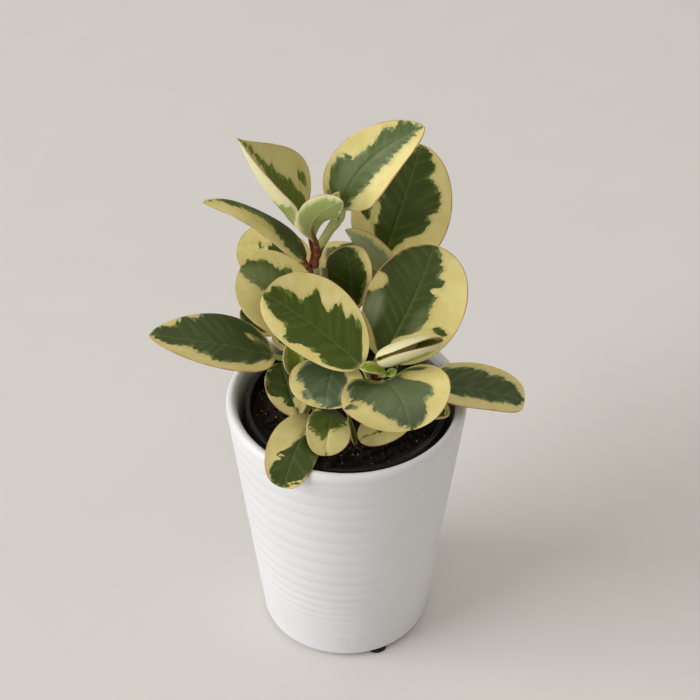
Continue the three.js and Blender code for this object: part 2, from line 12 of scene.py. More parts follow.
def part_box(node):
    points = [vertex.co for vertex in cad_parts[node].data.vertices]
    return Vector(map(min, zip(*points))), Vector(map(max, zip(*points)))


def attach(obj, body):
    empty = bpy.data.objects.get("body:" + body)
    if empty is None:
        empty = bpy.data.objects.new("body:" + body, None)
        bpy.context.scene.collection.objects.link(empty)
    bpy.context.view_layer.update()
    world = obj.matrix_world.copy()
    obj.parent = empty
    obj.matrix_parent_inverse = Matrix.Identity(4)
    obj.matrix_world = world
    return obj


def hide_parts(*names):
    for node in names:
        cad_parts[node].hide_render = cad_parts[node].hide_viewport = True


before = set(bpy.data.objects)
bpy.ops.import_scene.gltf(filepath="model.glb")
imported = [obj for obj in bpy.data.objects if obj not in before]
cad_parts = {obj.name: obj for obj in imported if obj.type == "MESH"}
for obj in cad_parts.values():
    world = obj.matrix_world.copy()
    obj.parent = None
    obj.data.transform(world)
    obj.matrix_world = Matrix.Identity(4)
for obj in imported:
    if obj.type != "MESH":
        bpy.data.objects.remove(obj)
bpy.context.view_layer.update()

MM = 0.001
BODY = "root"


# --- sizes read from the frame
def box_mm(node):
    low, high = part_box(node)
    return np.array(low) / MM, np.array(high) / MM


POT_RIM_RADIUS, _, POT_HEIGHT = box_mm("ceramic_pot")[1]
NURSERY_LOW, NURSERY_HIGH = box_mm("nursery_pot")
NURSERY_RIM_RADIUS = NURSERY_HIGH[0]
SOIL_LOW = box_mm("soil")[0][2]
FLOOR_HEIGHT = box_mm("foot_pad_front")[0][2]

# --- pots and soil
POT_BASE_RADIUS = 47
POT_WALL = 6
POT_FLOOR = 7
POT_LIP = 4
POT_FOOT_CURVE = 4
POT_INNER_CURVE = 5
POT_SIDES = 176
CURVE_STEPS = 7
LIP_STEPS = 16
RIB_TOP = 149.7
RIB_BOTTOM = 16
RIB_PITCH_TOP = 9.6
RIB_PITCH_BOTTOM = 3
RIB_PITCH_GROWTH = 0.1
RIB_DEPTH = 0.6
RIB_FOOT_SHARE = 0.3
RIB_FULL_HEIGHT = 55
RIB_ROUNDNESS = 0.75
RIB_STEPS = 8

FOOT_PADS = ["foot_pad_front", "foot_pad_right", "foot_pad_back", "foot_pad_left"]
PAD_EDGE = 0.4
PAD_EDGE_STEPS = 3
PAD_SIDES = 48

NURSERY_BASE_RADIUS = 38.5
NURSERY_WALL = 1.4
NURSERY_BAND = 12
NURSERY_BAND_STEP = 1.1
NURSERY_EDGE = 0.6
NURSERY_FOOT_EDGE = 1
NURSERY_SIDES = 144
DRAIN_COUNT = 6
DRAIN_RADIUS = 4
DRAIN_REACH = 26
DRAIN_SIDES = 32
DRAIN_CUT_HEIGHT = 5.6

SOIL_TOP = 143.5
SOIL_GAP = 0.3
SOIL_SIDES = 220
SOIL_RINGS = 64
SOIL_SEED = 41
# The soil rolls in long swells (height, radians per millimetre along and across, shift), with
# ripples on them (height, radians per millimetre) and clods of three sizes (height, distance apart).
SOIL_SWELL = (1.1, 0.31, 0.27, 1.3)
SOIL_RIPPLE = (0.66, 0.55, 0.62)
SOIL_CLODS = [(0.78, 5.5), (0.468, 2.6), (0.312, 1.25)]
LATTICE_SIZE = 97
SCATTERS = [
    dict(name="soil_crumbs", count=900, size=(0.5, 1.7), stretch=(0.7, 1.5), look="soil_crumb", seed=3),
    dict(name="soil_bark", count=80, size=(0.9, 2.2), stretch=(1.4, 3.2), look="soil_bark", seed=5),
    dict(name="soil_grains", count=260, size=(0.35, 0.9), stretch=(0.8, 1.3), look="soil_grain", seed=9),
]
LUMP_WIDTH = (0.75, 1.1)
LUMP_HEIGHT = (0.5, 0.9)
LUMP_DENT = 0.22
LUMP_TILT = 0.6
LUMP_RISE = 0.25

# --- shoots
STEM_SIDES = 28
STEM_STEPS_PER_SPAN = 24
STEM_SWELLING = 0.16
STEM_SWELLING_REACH = 2.6
STEM_END_SHARE = 0.02
PATH_TIGHTNESS = 0.5
HALVINGS = 30

# --- leaves, where a pair gives the two places between which something comes or goes
BLADE_ROWS = 60
BLADE_COLUMNS = 17
STALK_ROWS = 16
COLUMN_BUNCHING = 0.8
MARGIN_RADIUS = 0.38
MARGIN_STEPS = 3
BLADE_HALF_THICKNESS = 0.42
TIP_RADIUS = 0.35
STALK_RISE = 0.6
STALK_EASE = 0.35
STALK_FLARE = 0.3
STALK_FLARE_FADES = (-1, -0.82)
STALK_FADES = (0, 0.13)
STALK_COLOUR_FADES = (0, 0.05)
FOLD_FOOT_SHARE = 0.35
RIB_TIP_RADIUS = 0.5
RIB_TAPERS = (0, 0.75)
RIB_COLOUR_FADES = (0.05, 0.7)
DETAIL_COMES = (0.02, 0.14)
GROOVE_DEPTH = 0.34
GROOVE_WIDTH = 0.8
GROOVE_LOSS = 0.7
GROOVE_FADES = (0.6, 1)
QUILT_HEIGHT = 0.06
QUILT_COMES_FROM_RIB = (0.5, 3)
QUILT_COMES_FROM_MARGIN = (0.5, 4)
VEIN_PITCH = 7.5
VEIN_SLANT = 0.9
WAVE_HEIGHT = 0.45
WAVE_FULL_HALF_WIDTH = 12
WAVE_PACE = 5.5
WAVE_UNEVENNESS = 0.3
FLAT_ANGLE = 1e-4
LOBE_SLANT_REACH = 1.1
ISLAND_REACH = 4
BLOOM_AND_SHEEN_FADES = (0.4, 1)
MARGIN_KEPT_OFF_STALK = 3
LEAF_SEED = 100
LEAF_NOISE_STEP = 3.7
HALF_NOISE_STEP = 1.9

# A shoot turns red from its first to its second height, and green again from the third to the fourth.
SHOOTS = {
    "main_stem": dict(
        radius=2.4, red=(230, 237, 245, 254),
        path=[(-5, 14, 119.8), (-8, 17, 160), (-12, 18, 200), (-17, 13, 236), (-10, 11, 256),
              (-4, 11, 266)],
    ),
    "right_shoot": dict(
        radius=2.3, red=(164, 178, 190, 200),
        path=[(8, 5, 119.8), (10, 2, 145), (13, -4, 164), (16, -11, 182)],
    ),
    "left_shoot": dict(
        radius=2.1, red=(150, 172, 190, 200),
        path=[(-13, 1, 119.8), (-15, 0, 142), (-19, -2, 156), (-24, -4, 168)],
    ),
}

# A leaf's stalk leaves its shoot at the height "root", towards "leave" or else towards its blade. The
# blade's rib runs from its foot through a middle point to its tip. "face" is the way the upper side
# looks, "lean" how much wider the right half is, "twist" how far the blade turns about its rib up to
# the tip, and "fold" how far its left and right halves turn up, which "fold_foot" and "fold_tip"
# change at its ends. "ends" is how sharply the outline closes at foot and tip: .5 is round, 1 straight.
# "green" gives, from foot (0) to tip (1), where the green area starts and ends between the left margin
# (-1) and the right margin (1). "spots" adds green islands (last number 1) or cream ones (-1): place
# along, place across, reach along, reach across. "bloom" gives paler patches the same way, with their
# strength as the last number; they are partly the leaf's waxy coat and partly painted sheen. "tone" is
# how blue-grey (partly a glaucous tint, partly painted sheen), how young and, for the stalk, how red the
# leaf is. Where a leaf says nothing else, it has the values of USUAL_LEAF.
USUAL_LEAF = dict(
    shoot="main_stem", stalk=1.5, fold=(10, 10), ends=(.6, .5), lean=0, twist=0, spots=(), bloom_and_sheen=(),
)
LEAVES = dict(
    leaf_upper_left=dict(
        root=242, rib=[(-22, 20, 261), (-40, 17, 285), (-54, 14, 312)], face=(.6, -.5, .55), width=49,
        fold=(120, 8), ends=(.5, 1.15), tone=(.1, .3, .9),
        green=[(0, -.3, .5), (.08, -.5, .5), (.15, -.8, .42), (.28, -.95, .38), (.36, -.9, .36),
               (.45, -.3, .3), (.5, 0, .3), (.56, .08, .42), (.6, .1, .3), (.75, .16, .38),
               (.88, .25, .5), (1, .35, .4)],
        spots=[(.18, .68, .08, .12, 1)],
    ),
    leaf_long_left=dict(
        root=230, rib=[(-22, 8, 240), (-44, 4, 268.5), (-72, 3, 281)], face=(.25, -.45, .85), width=16,
        lean=.3, twist=45, fold=(-60, -25), fold_tip=(-60, 20), ends=(.3, .5), tone=(.5, .1, .9),
        green=[(0, -.3, .6), (.1, -.4, 1), (.2, -.45, 1.1), (.3, -.05, 1.1), (.42, .22, 1.1),
               (.5, .38, 1.1), (.59, .34, 1.1), (.7, .35, 1.1), (.8, .45, 1), (.88, .6, .95),
               (.92, .8, .6), (1, .2, 0)],
    ),
    leaf_young_centre=dict(
        root=235, rib=[(-16.5, 1, 259.5), (-16, -4, 276.5), (-2, -7, 289)], face=(-.35, .84, -.3),
        width=19, fold=(20, 30), ends=(.9, .6), tone=(.2, .3, .9),
        green=[(0, -1, .9), (.5, -1, .9), (.8, -1, .7), (1, -.7, .4)],
        bloom_and_sheen=[(.75, 0, .75, 1.5, .85)],
    ),
    leaf_top=dict(
        root=263, rib=[(-2, 10, 272), (9, 12, 298), (38, 14, 319)], face=(-.15, -.73, .68), width=34,
        lean=.06, fold=(15, 30), ends=(.45, .6), tone=(.7, .1, .1),
        green=[(0, -.5, .2), (.1, -.8, .3), (.2, -.75, .35), (.32, -.82, .47), (.42, -.82, .47),
               (.46, -.38, .46), (.55, -.38, .45), (.64, -.36, .45), (.72, -.55, .42), (.78, -.75, .38),
               (.83, -.5, .34), (.88, -.9, .3), (.95, -.8, .12), (1, -.3, .05)],
        bloom_and_sheen=[(.35, -.3, .3, .35, .2), (.75, 0, .25, .3, .1)],
    ),
    leaf_upper_right=dict(
        root=202, leave=(-.1, 1), rib=[(19, 35, 223), (28, 38, 252), (38, 48, 286)], face=(0, -.77, .64),
        width=52, lean=.03, fold=(12, 12), fold_foot=(20, 100), ends=(.45, .5), tone=(.15, 0, .4),
        green=[(0, -.2, .1), (.15, -.35, .2), (.24, -.5, .28), (.4, -.82, .58), (.49, -.82, .66),
               (.53, -.8, .56), (.58, -.75, .74), (.65, -.7, .75), (.75, -.6, .65), (.8, -.5, .43),
               (.88, -.4, .62), (.95, -.3, .6), (1, -.2, .5)],
        spots=[(.36, -.5, .2, .07, -1)],
    ),
    leaf_folded_middle=dict(
        shoot="right_shoot", root=168, rib=[(30, 20, 214), (14, 26, 234.5), (-1, 29, 245)],
        face=(-.25, -.6, .75), width=14, fold=(10, 40), ends=(.35, .7), tone=(.8, .2, .6),
        green=[(0, -.9, .5), (.3, -1, .55), (.5, -1, .4), (.7, -1, .5), (.85, -.9, .3), (1, -.3, .1)],
        bloom_and_sheen=[(.45, -.2, 1.1, 1.7, .95)],
    ),
    leaf_shaded_middle=dict(
        root=188, rib=[(2, 20, 197), (2, 20, 221), (-1, 22, 239.5)], face=(-.1, -.8, .5), width=25,
        fold=(20, 20), ends=(.6, .3), tone=(0, 0, .5),
        # Its green area spreads over the left cream margin as painted shade, for its place in the shadow
        # of the leaf above it.
        green=[(0, -.8, .6), (.2, -1.2, .7), (.5, -1.3, .72), (.7, -1.2, .66), (.9, -1.1, .5),
               (1, -.9, .3)],
    ),
    leaf_right_large=dict(
        shoot="right_shoot", root=172, leave=(.5, 1), rib=[(18, -6, 187), (33, 6, 213), (45, 12, 248)],
        face=(0, -.83, .56), width=53, lean=.06, fold=(25, 10), ends=(.5, .42), tone=(.25, 0, .4),
        green=[(0, -.3, 0), (.1, -.5, 0), (.18, -.62, .05), (.24, -.78, .08), (.3, -.95, .28),
               (.39, -1.1, .4), (.49, -1.1, .43), (.56, -1.1, .38), (.63, -1.1, .43), (.76, -1.1, .45),
               (.81, -1.1, .33), (.86, -1, .38), (.93, -1, .33), (1, -.8, .25)],
        spots=[(.61, -.95, .09, .28, -1), (.685, .36, .025, .14, -1), (.42, .74, .03, .14, 1)],
        bloom_and_sheen=[(.36, -.75, .25, .3, .5), (.42, -.62, .16, .06, .6), (.4, .3, .2, .2, .2)],
    ),
    leaf_rolled=dict(
        shoot="right_shoot", root=177, leave=(1, .2),
        rib=[(18, -12, 191), (32, -14, 199), (50, -11, 204)], face=(0, -.7, .72), width=34,
        fold=(172, 172), fold_foot=(168, 168), fold_tip=(155, 155), ends=(.4, .5), tone=(.3, .3, .5),
        green=[(0, 0, .3), (.15, .1, .6), (.4, .05, .68), (.6, 0, .72), (.75, -.4, .75), (.9, -.3, .6),
               (1, 0, .2)],
    ),
    leaf_front_large=dict(
        shoot="right_shoot", root=172, rib=[(8, -15, 189), (-18, -4, 208), (-43, 2, 224)],
        face=(.05, -.73, .68), width=43, lean=.15, fold=(-45, 12), ends=(.55, .5), tone=(.05, .05, .4),
        green=[(0, -.5, .3), (.05, -.7, .45), (.1, -.8, .62), (.2, -.85, .82), (.3, -.63, .78),
               (.35, -.63, .62), (.42, -.62, .72), (.48, -.65, .45), (.55, -.82, .5), (.6, -.85, .62),
               (.64, -.7, .68), (.7, -.46, .35), (.8, -.52, .43), (.94, -.45, .47), (1, -.3, .2)],
    ),
    leaf_front_heart=dict(
        shoot="right_shoot", root=165, rib=[(20, -16, 179), (28, -38, 187), (33, -51, 177)],
        face=(0, -.3, .96), width=58, lean=.04, fold_foot=(25, 60), ends=(.35, .5), tone=(.7, 0, .5),
        green=[(0, -.5, .95), (.1, -.4, .9), (.2, -.38, .87), (.27, -.42, .85), (.31, -.48, .74),
               (.37, -.53, .6), (.45, -.62, .58), (.5, -.66, .5), (.56, -.66, .58), (.6, -.6, .5),
               (.66, -.47, .5), (.73, -.47, .48), (.82, -.5, .4), (.91, -.52, .28), (.97, -.4, .1),
               (1, -.3, -.1)],
        spots=[(.42, .84, .06, .1, 1), (.08, -.82, .12, .09, 1)],
        bloom_and_sheen=[(.5, 0, .6, 1.1, .2)],
    ),
    leaf_right_long=dict(
        shoot="right_shoot", root=162, rib=[(45, -6, 167), (71, -7, 166), (95, -9, 160)],
        face=(0, -.05, 1), width=36, lean=-.27, fold=(-10, -10), ends=(.3, .28), tone=(.45, 0, .4),
        green=[(0, -.7, .3), (.1, -.8, .4), (.3, -.8, .48), (.5, -.75, .5), (.6, -.62, .52),
               (.7, -.65, .55), (.8, -.62, .5), (.9, -.55, .5), (.95, -.4, .45), (1, -.2, .2)],
    ),
    leaf_far_left=dict(
        root=168, leave=(-.3, -1), rib=[(-38, 0, 183), (-70, -5, 196), (-103, -6, 202)],
        face=(.1, -.26, .93), width=38, lean=.1, fold=(20, -10), ends=(.5, .7), tone=(.4, 0, .3),
        green=[(0, -.25, .2), (.07, -.4, .85), (.22, -.62, .92), (.35, -.65, 1.1), (.47, -.75, 1.1),
               (.52, -.57, 1.1), (.61, -.55, .95), (.66, -.4, .84), (.73, -.35, .95), (.77, -.42, 1),
               (.8, -.5, .54), (.85, -.57, .6), (.92, -.45, .8), (.97, -.3, 1), (1, -.2, .8)],
        spots=[(.13, .5, .07, .06, -1)],
    ),
    leaf_left_middle=dict(
        root=195, rib=[(-13, 8, 191), (-36, 13, 215), (-56, 18, 228)], face=(0, -.75, .66), width=40,
        ends=(.45, .45), tone=(.1, .12, .3),
        green=[(0, -.3, .3), (.3, -.5, .5), (.5, -.3, .55), (.54, -.3, .72), (.62, -.15, .72),
               (.66, -.2, .5), (.73, -.2, .55), (.84, -.25, .62), (.92, -.22, .48), (.96, -.2, .7),
               (1, -.1, .4)],
        bloom_and_sheen=[(.7, 0, .4, .6, .3)],
    ),
    leaf_left_back=dict(
        root=208, rib=[(-18, 26, 214), (-38, 32, 224), (-58, 36, 229)], face=(0, -.5, .85), width=34,
        ends=(.5, .45), tone=(.2, 0, .3),
        green=[(0, -.3, .3), (.3, -.1, .4), (.43, .1, .5), (.51, .08, .5), (.57, .05, .48),
               (.63, .22, .34), (.67, .4, .2), (.72, .1, .3), (.78, .35, .2), (1, .3, -.2)],
    ),
    leaf_behind_front=dict(
        root=176, rib=[(-18, 15, 182), (-29, 18, 183), (-40, 21, 184)], face=(0, -.43, .88), width=22,
        tone=(.1, 0, .3),
        green=[(0, -.5, .5), (.5, -.75, .5), (.8, -.5, .4), (1, -.2, .2)],
    ),
    leaf_low_back_left=dict(
        root=165, rib=[(-34, 32, 175), (-46, 35, 179), (-58, 37, 184)], face=(0, -.3, .95), width=20,
        tone=(0, 0, .3),
        green=[(0, -.6, .6), (.5, -.8, .8), (.9, -.8, .8), (1, -.7, .7)],
    ),
    leaf_young_left=dict(
        shoot="left_shoot", root=167, leave=(.3, 1), rib=[(-27, -2, 173), (-29, -1, 181), (-31, 2, 190)],
        face=(.3, -.56, .73), width=14, stalk=1, fold=(55, 45), ends=(.6, .6), tone=(0, .9, .1),
        green=[(0, -.6, .6), (.5, -.6, .6), (1, -.3, .3)],
    ),
    leaf_low_left=dict(
        shoot="left_shoot", root=151, leave=(-1, -1),
        rib=[(-25, -15, 153), (-30, -6, 162), (-35, 6, 174)], face=(-.1, -.33, .93), width=24,
        ends=(.8, .4), tone=(.1, 0, .3),
        green=[(0, 0, 0), (.25, -.1, .05), (.3, -.45, .05), (.36, -.5, .05), (.42, -.25, .1),
               (.48, -.3, 1), (.55, -.85, 1), (.62, -.95, 1), (.9, -.95, 1), (1, -.5, .5)],
    ),
    leaf_over_rim=dict(
        shoot="left_shoot", root=147, leave=(-.3, -1),
        rib=[(-15, -17, 153), (-24, -44, 163), (-32, -66, 150)], face=(.05, -.64, .76), width=27, lean=.1,
        fold=(12, 10), ends=(.7, .38), tone=(.15, 0, .3),
        green=[(0, -.6, -.5), (.3, -.9, -.35), (.4, -1, -.15), (.45, -1.1, 0), (.53, -1.1, .2),
               (.62, -1.1, .23), (.68, -1.1, .35), (.72, -1.1, .58), (.75, -1.1, .25), (.81, -1.1, .62),
               (.91, -.9, .85), (.95, -.45, .8), (.98, -.1, .6), (1, .1, .4)],
    ),
    leaf_front_blue=dict(
        root=156, rib=[(-5, 4, 180), (-9, -16, 180), (-11, -28, 171)], face=(0, -.23, .97), width=40,
        lean=.05, ends=(.65, .5), tone=(1, 0, .3),
        green=[(0, -.5, .8), (.3, -.4, .85), (.44, -.52, .85), (.6, -.55, .76), (.68, -.55, .62),
               (.76, -.58, .48), (.82, -.65, .5), (.88, -.75, .48), (.93, -.78, .4), (.97, -.7, .1),
               (1, -.6, 0)],
        spots=[(.8, .64, .05, .07, 1)],
        bloom_and_sheen=[(.7, -.5, .2, .12, .7), (.9, .1, .12, .5, .3)],
    ),
    leaf_front_drooping=dict(
        shoot="left_shoot", root=146, leave=(1, -.2),
        rib=[(-8, -18, 163), (-9, -41, 169), (-11, -51, 159)], face=(.15, -.6, .76), width=24,
        fold=(0, 15), ends=(.6, .45), tone=(0, .1, .3),
        green=[(0, -.9, .3), (.08, -1.1, .4), (.18, -1, .7), (.3, -.8, 1), (.47, -.4, 1),
               (.57, -.08, .92), (.64, .05, .55), (.72, .12, .42), (.8, .22, .24), (1, 0, -.2)],
    ),
    leaf_sliver=dict(
        shoot="right_shoot", root=147, rib=[(1, -17, 158), (3, -25, 152), (5, -30, 147)],
        face=(1, -.3, .2), width=10, stalk=.9, ends=(.6, .6), tone=(0, .5, .2),
        green=[(0, -.5, .8), (1, -.3, .4)],
    ),
    leaf_low_front=dict(
        shoot="right_shoot", root=150, rib=[(33, -18, 154), (19, -26, 155), (7, -32, 152)],
        face=(0, -.2, .94), width=20, ends=(.5, .5), tone=(0, .1, .3),
        green=[(0, 0, .4), (.3, .1, .4), (.5, -.15, .1), (.65, -.15, 0), (.75, 0, 0), (1, 0, 0)],
    ),
    leaf_low_right=dict(
        shoot="right_shoot", root=154, rib=[(35, -14, 158), (46, -15, 160), (55, -14, 158)],
        face=(0, -.2, .94), width=16, ends=(.5, .5), tone=(.1, 0, .3),
        green=[(0, 0, .4), (.4, 0, .6), (.6, 0, .8), (.8, 0, .8), (.9, .2, .2), (1, 0, 0)],
    ),
    leaf_back_right=dict(
        root=186, leave=(.6, 1), rib=[(5, 41, 196), (20, 53, 208), (38, 63, 214)], face=(-.2, .1, .95),
        width=38, fold=(15, 15), tone=(.4, 0, .4),
        green=[(0, -.5, .4), (.2, -.7, .6), (.4, -.6, .75), (.6, -.75, .5), (.8, -.5, .6), (1, -.2, .3)],
    ),
    leaf_back_left=dict(
        root=182, leave=(-.6, 1), rib=[(-26, 42, 198), (-38, 58, 206), (-50, 74, 205)], face=(.1, 0, 1),
        width=36, tone=(.3, 0, .4),
        green=[(0, -.4, .5), (.2, -.6, .8), (.4, -.8, .6), (.6, -.5, .7), (.8, -.6, .4), (1, -.3, .2)],
    ),
    leaf_back_centre=dict(
        root=176, rib=[(-4, 42, 188), (0, 64, 197), (4, 86, 194)], face=(0, .1, 1), width=38,
        tone=(.5, 0, .4),
        green=[(0, -.5, .5), (.25, -.8, .6), (.45, -.6, .8), (.65, -.7, .5), (.85, -.4, .5), (1, -.2, .2)],
    ),
    leaf_back_low=dict(
        shoot="right_shoot", root=160, rib=[(20, 24, 172), (32, 42, 182), (44, 60, 186)],
        face=(-.1, 0, 1), width=34, tone=(.2, 0, .3),
        green=[(0, -.4, .4), (.2, -.5, .7), (.4, -.8, .5), (.6, -.7, .6), (.8, -.5, .5), (1, -.1, .2)],
    ),
)

BUDS = dict(
    bud_top=dict(
        root=262, rib=[(-6, 10, 270), (-6, 9, 277), (-4, 8, 284)], face=(-.4, -.7, .5), width=7,
        stalk=1.2, fold=(30, 30), ends=(.6, .7), tone=(0, 1, 0),
        green=[(0, -.8, .8), (1, -.8, .8)],
    ),
    bud_right=dict(
        shoot="right_shoot", root=179, rib=[(21, -16, 184), (24, -17, 187), (26, -18, 189)],
        face=(.3, -.6, .7), width=5, stalk=1, fold=(30, 30), ends=(.6, .7), tone=(0, 1, 0),
        green=[(0, -.8, .8), (1, -.8, .8)],
    ),
    young_leaf=dict(
        shoot="right_shoot", root=178, rib=[(20, -17, 187), (13, -19, 191), (7, -21, 193)],
        face=(0, -.2, .94), width=9, stalk=.9, fold=(30, 30), ends=(.5, .6), tone=(0, 1, 0),
        green=[(0, -.7, .7), (.6, -.7, .7), (1, -.4, .4)],
    ),
)

# --- camera and light, in metres, and the leaves' noises
CAMERA_PLACE = (0.0018, -0.825, 0.877)
CAMERA_PITCH = 0.696
CAMERA_ROLL = 0.0048
CAMERA_LENS = 104.66
CAMERA_NEAR = 0.05
CAMERA_FAR = 20
SENSOR_WIDTH = 36
FLOOR_REACH = 4
LIGHT_AIM = (0, 0, 0.16)
LIGHTS = [
    dict(name="window", place=(-4.25, -1.3, 2.14), size=4, power=203, colour=(1, 1, 1)),
    dict(name="ceiling", place=(0.5, 0.3, 2.2), size=2.4, power=11, colour=(1, 0.98, 0.96)),
    dict(name="room", place=(0.9, -1.1, 1.3), size=2.2, power=1.2, colour=(1, 0.92, 0.84)),
]
SKY_COLOUR = (0.92, 0.87, 0.8)
SKY_STRENGTH = 0.36

# Noises drawn out along the side veins: how far they reach to each side, in millimetres, and how fast
# they change along the rib and across the blade.
LOBES = dict(reach=1.6, scale=(0.16, 0.06, 1), detail=1)
FINGERS = dict(reach=1.7, scale=(0.34, 0.05, 1), detail=1, shift=(3, 5, 2))
JAGS = dict(reach=0.6, scale=(1.1, 0.15, 1), detail=1, shift=(9, 2, 6))
PATCHES = dict(reach=5, scale=(0.3, 0.05, 1), detail=2, shift=(11, 3, 5))
STROKES = dict(scale=(0.3, 0.06, 1), detail=2, shift=(7, 1, 3))
STREAKS = dict(scale=(1.4, 0.2, 1), detail=2)
STROKE_STRENGTH = 0.24
GREEN_HALO_STRENGTH = 0.22
RIB_LINE_STRENGTH = 0.2
MARGIN_STRENGTH = 0.72
MARGIN_LOSS_WHEN_YOUNG = 0.7
SPECK_SCALE = 0.14
SPECK_STRENGTH = 0.8


def srgb(red, green, blue):
    """A colour written as screen values from 0 to 255, as the shader's linear values."""
    shares = np.array([red, green, blue]) / 255
    linear = np.where(shares <= 0.04045, shares / 12.92, ((shares + 0.055) / 1.055) ** 2.4)
    return (*linear.tolist(), 1)


CREAM = srgb(235, 221, 150)
CREAM_SHADE = srgb(225, 208, 132)
DARK_GREEN = srgb(58, 74, 10)
MIDDLE_GREEN = srgb(106, 119, 46)
# Greens of the blue-grey leaves: partly a glaucous tint, partly painted sheen.
BLUE_SHEEN_GREEN = srgb(126, 138, 104)
BLUE_SHEEN_DARK = srgb(74, 90, 56)
YOUNG_GREEN = srgb(150, 170, 58)
YOUNG_PALE = srgb(205, 210, 130)
# The colour of the pale patches on the green: partly a waxy coat, partly painted sheen.
BLOOM_AND_SHEEN_GREEN = srgb(164, 174, 136)
UNDER_GREEN = srgb(150, 160, 104)
UNDER_CREAM = srgb(228, 222, 172)
MARGIN_PINK = srgb(184, 118, 88)
RIB_PALE = srgb(132, 146, 84)
STALK_GREEN = srgb(166, 174, 104)
STALK_RED = srgb(104, 34, 24)
SPECK_BROWN = srgb(70, 44, 24)
GLAZE = srgb(234, 235, 238)
GLAZE_CLOUD = srgb(230, 231, 234)
PLASTIC_BLACK = srgb(22, 22, 22)
PLASTIC_DUST = srgb(52, 48, 44)
SOIL_DARK = srgb(20, 13, 9)
SOIL_LIGHT = srgb(46, 31, 22)
BARK_DARK = srgb(36, 24, 16)
BARK_LIGHT = srgb(72, 50, 33)
GRAIN_DARK = srgb(120, 96, 54)
GRAIN_LIGHT = srgb(206, 188, 132)
PAD_BLACK = srgb(14, 14, 14)
FLOOR_PALE = srgb(234, 231, 227)
FLOOR_CLOUD = srgb(230, 227, 223)
PAD_WORN = srgb(30, 29, 28)

# A sort of earth's dark and light colour, and how rough it is.
EARTHS = dict(
    soil_dark=(SOIL_DARK, SOIL_LIGHT, 0.95),
    soil_crumb=(SOIL_DARK, SOIL_LIGHT, 0.9),
    soil_bark=(BARK_DARK, BARK_LIGHT, 0.85),
    soil_grain=(GRAIN_DARK, GRAIN_LIGHT, 0.8),
)


# --- node helpers
class Shader:
    """A material's node tree, with short calls for the nodes used here."""

    def __init__(self, name):
        self.material = bpy.data.materials.new(name)
        self.material.use_nodes = True
        self.tree = self.material.node_tree
        self.surface = self.tree.nodes["Principled BSDF"]

    def put(self, socket, value):
        if isinstance(value, bpy.types.NodeSocket):
            self.tree.links.new(value, socket)
        else:
            socket.default_value = value

    def node(self, kind, inputs, **settings):
        """A new node whose inputs, given by name or number, are filled."""
        made = self.tree.nodes.new(kind)
        for key, value in settings.items():
            setattr(made, key, value)
        for key, value in inputs.items():
            self.put(made.inputs[key], value)
        return made

    def finish(self, **inputs):
        """Fills the surface's own inputs, and gives the material."""
        for name, value in inputs.items():
            self.put(self.surface.inputs[name.replace("_", " ")], value)
        return self.material

    def math(self, operation, values):
        """The values joined two by two, from the first to the last."""
        joined = values[0]
        for value in values[1:]:
            joined = self.node("ShaderNodeMath", {0: joined, 1: value}, operation=operation).outputs[0]
        return joined

    def add(self, *values):
        return self.math("ADD", values)

    def times(self, *values):
        return self.math("MULTIPLY", values)

    def less(self, value):
        """1 minus the value."""
        return self.math("SUBTRACT", (1.0, value))

    def step(self, value, low, high):
        """0 below low and 1 above high, with a soft change between them."""
        inputs = {"Value": value, "From Min": low, "From Max": high}
        return self.node("ShaderNodeMapRange", inputs, interpolation_type="SMOOTHSTEP").outputs[0]

    def mix(self, share, one, two):
        return self.node("ShaderNodeMix", {0: share, 6: one, 7: two}, data_type="RGBA").outputs[2]

    def attribute(self, name, output="Fac"):
        return self.node("ShaderNodeAttribute", {}, attribute_name=name).outputs[output]

    def place(self):
        """The surface's own place in millimetres."""
        return self.scaled(self.node("ShaderNodeTexCoord", {}).outputs["Object"], (1 / MM,) * 3)

    def scaled(self, vector, scale, shift=(0, 0, 0)):
        inputs = dict(Vector=vector, Scale=scale, Location=shift)
        return self.node("ShaderNodeMapping", inputs).outputs[0]

    def split(self, vector):
        return self.node("ShaderNodeSeparateXYZ", {0: vector}).outputs[0:3]

    def noise(self, vector, scale, detail, roughness=0.5, shift=(0, 0, 0)):
        """A noise from 0 to 1. A scale of three numbers draws it out along one way."""
        if isinstance(scale, tuple):
            vector = self.scaled(vector, scale, shift)
            scale = 1
        inputs = dict(Vector=vector, Scale=scale, Detail=detail, Roughness=roughness)
        return self.node("ShaderNodeTexNoise", inputs).outputs["Fac"]

    def swing(self, vector, reach, **noise):
        """A noise from -reach to reach."""
        centred = self.math("SUBTRACT", (self.noise(vector, **noise), 0.5))
        return self.times(centred, 2 * reach)

    def bump(self, height, depth, strength, onto=None):
        """A bump whose full height is depth millimetres."""
        inputs = dict(Strength=strength, Distance=depth * MM, Height=height)
        if onto is not None:
            inputs["Normal"] = onto
        return self.node("ShaderNodeBump", inputs).outputs[0]


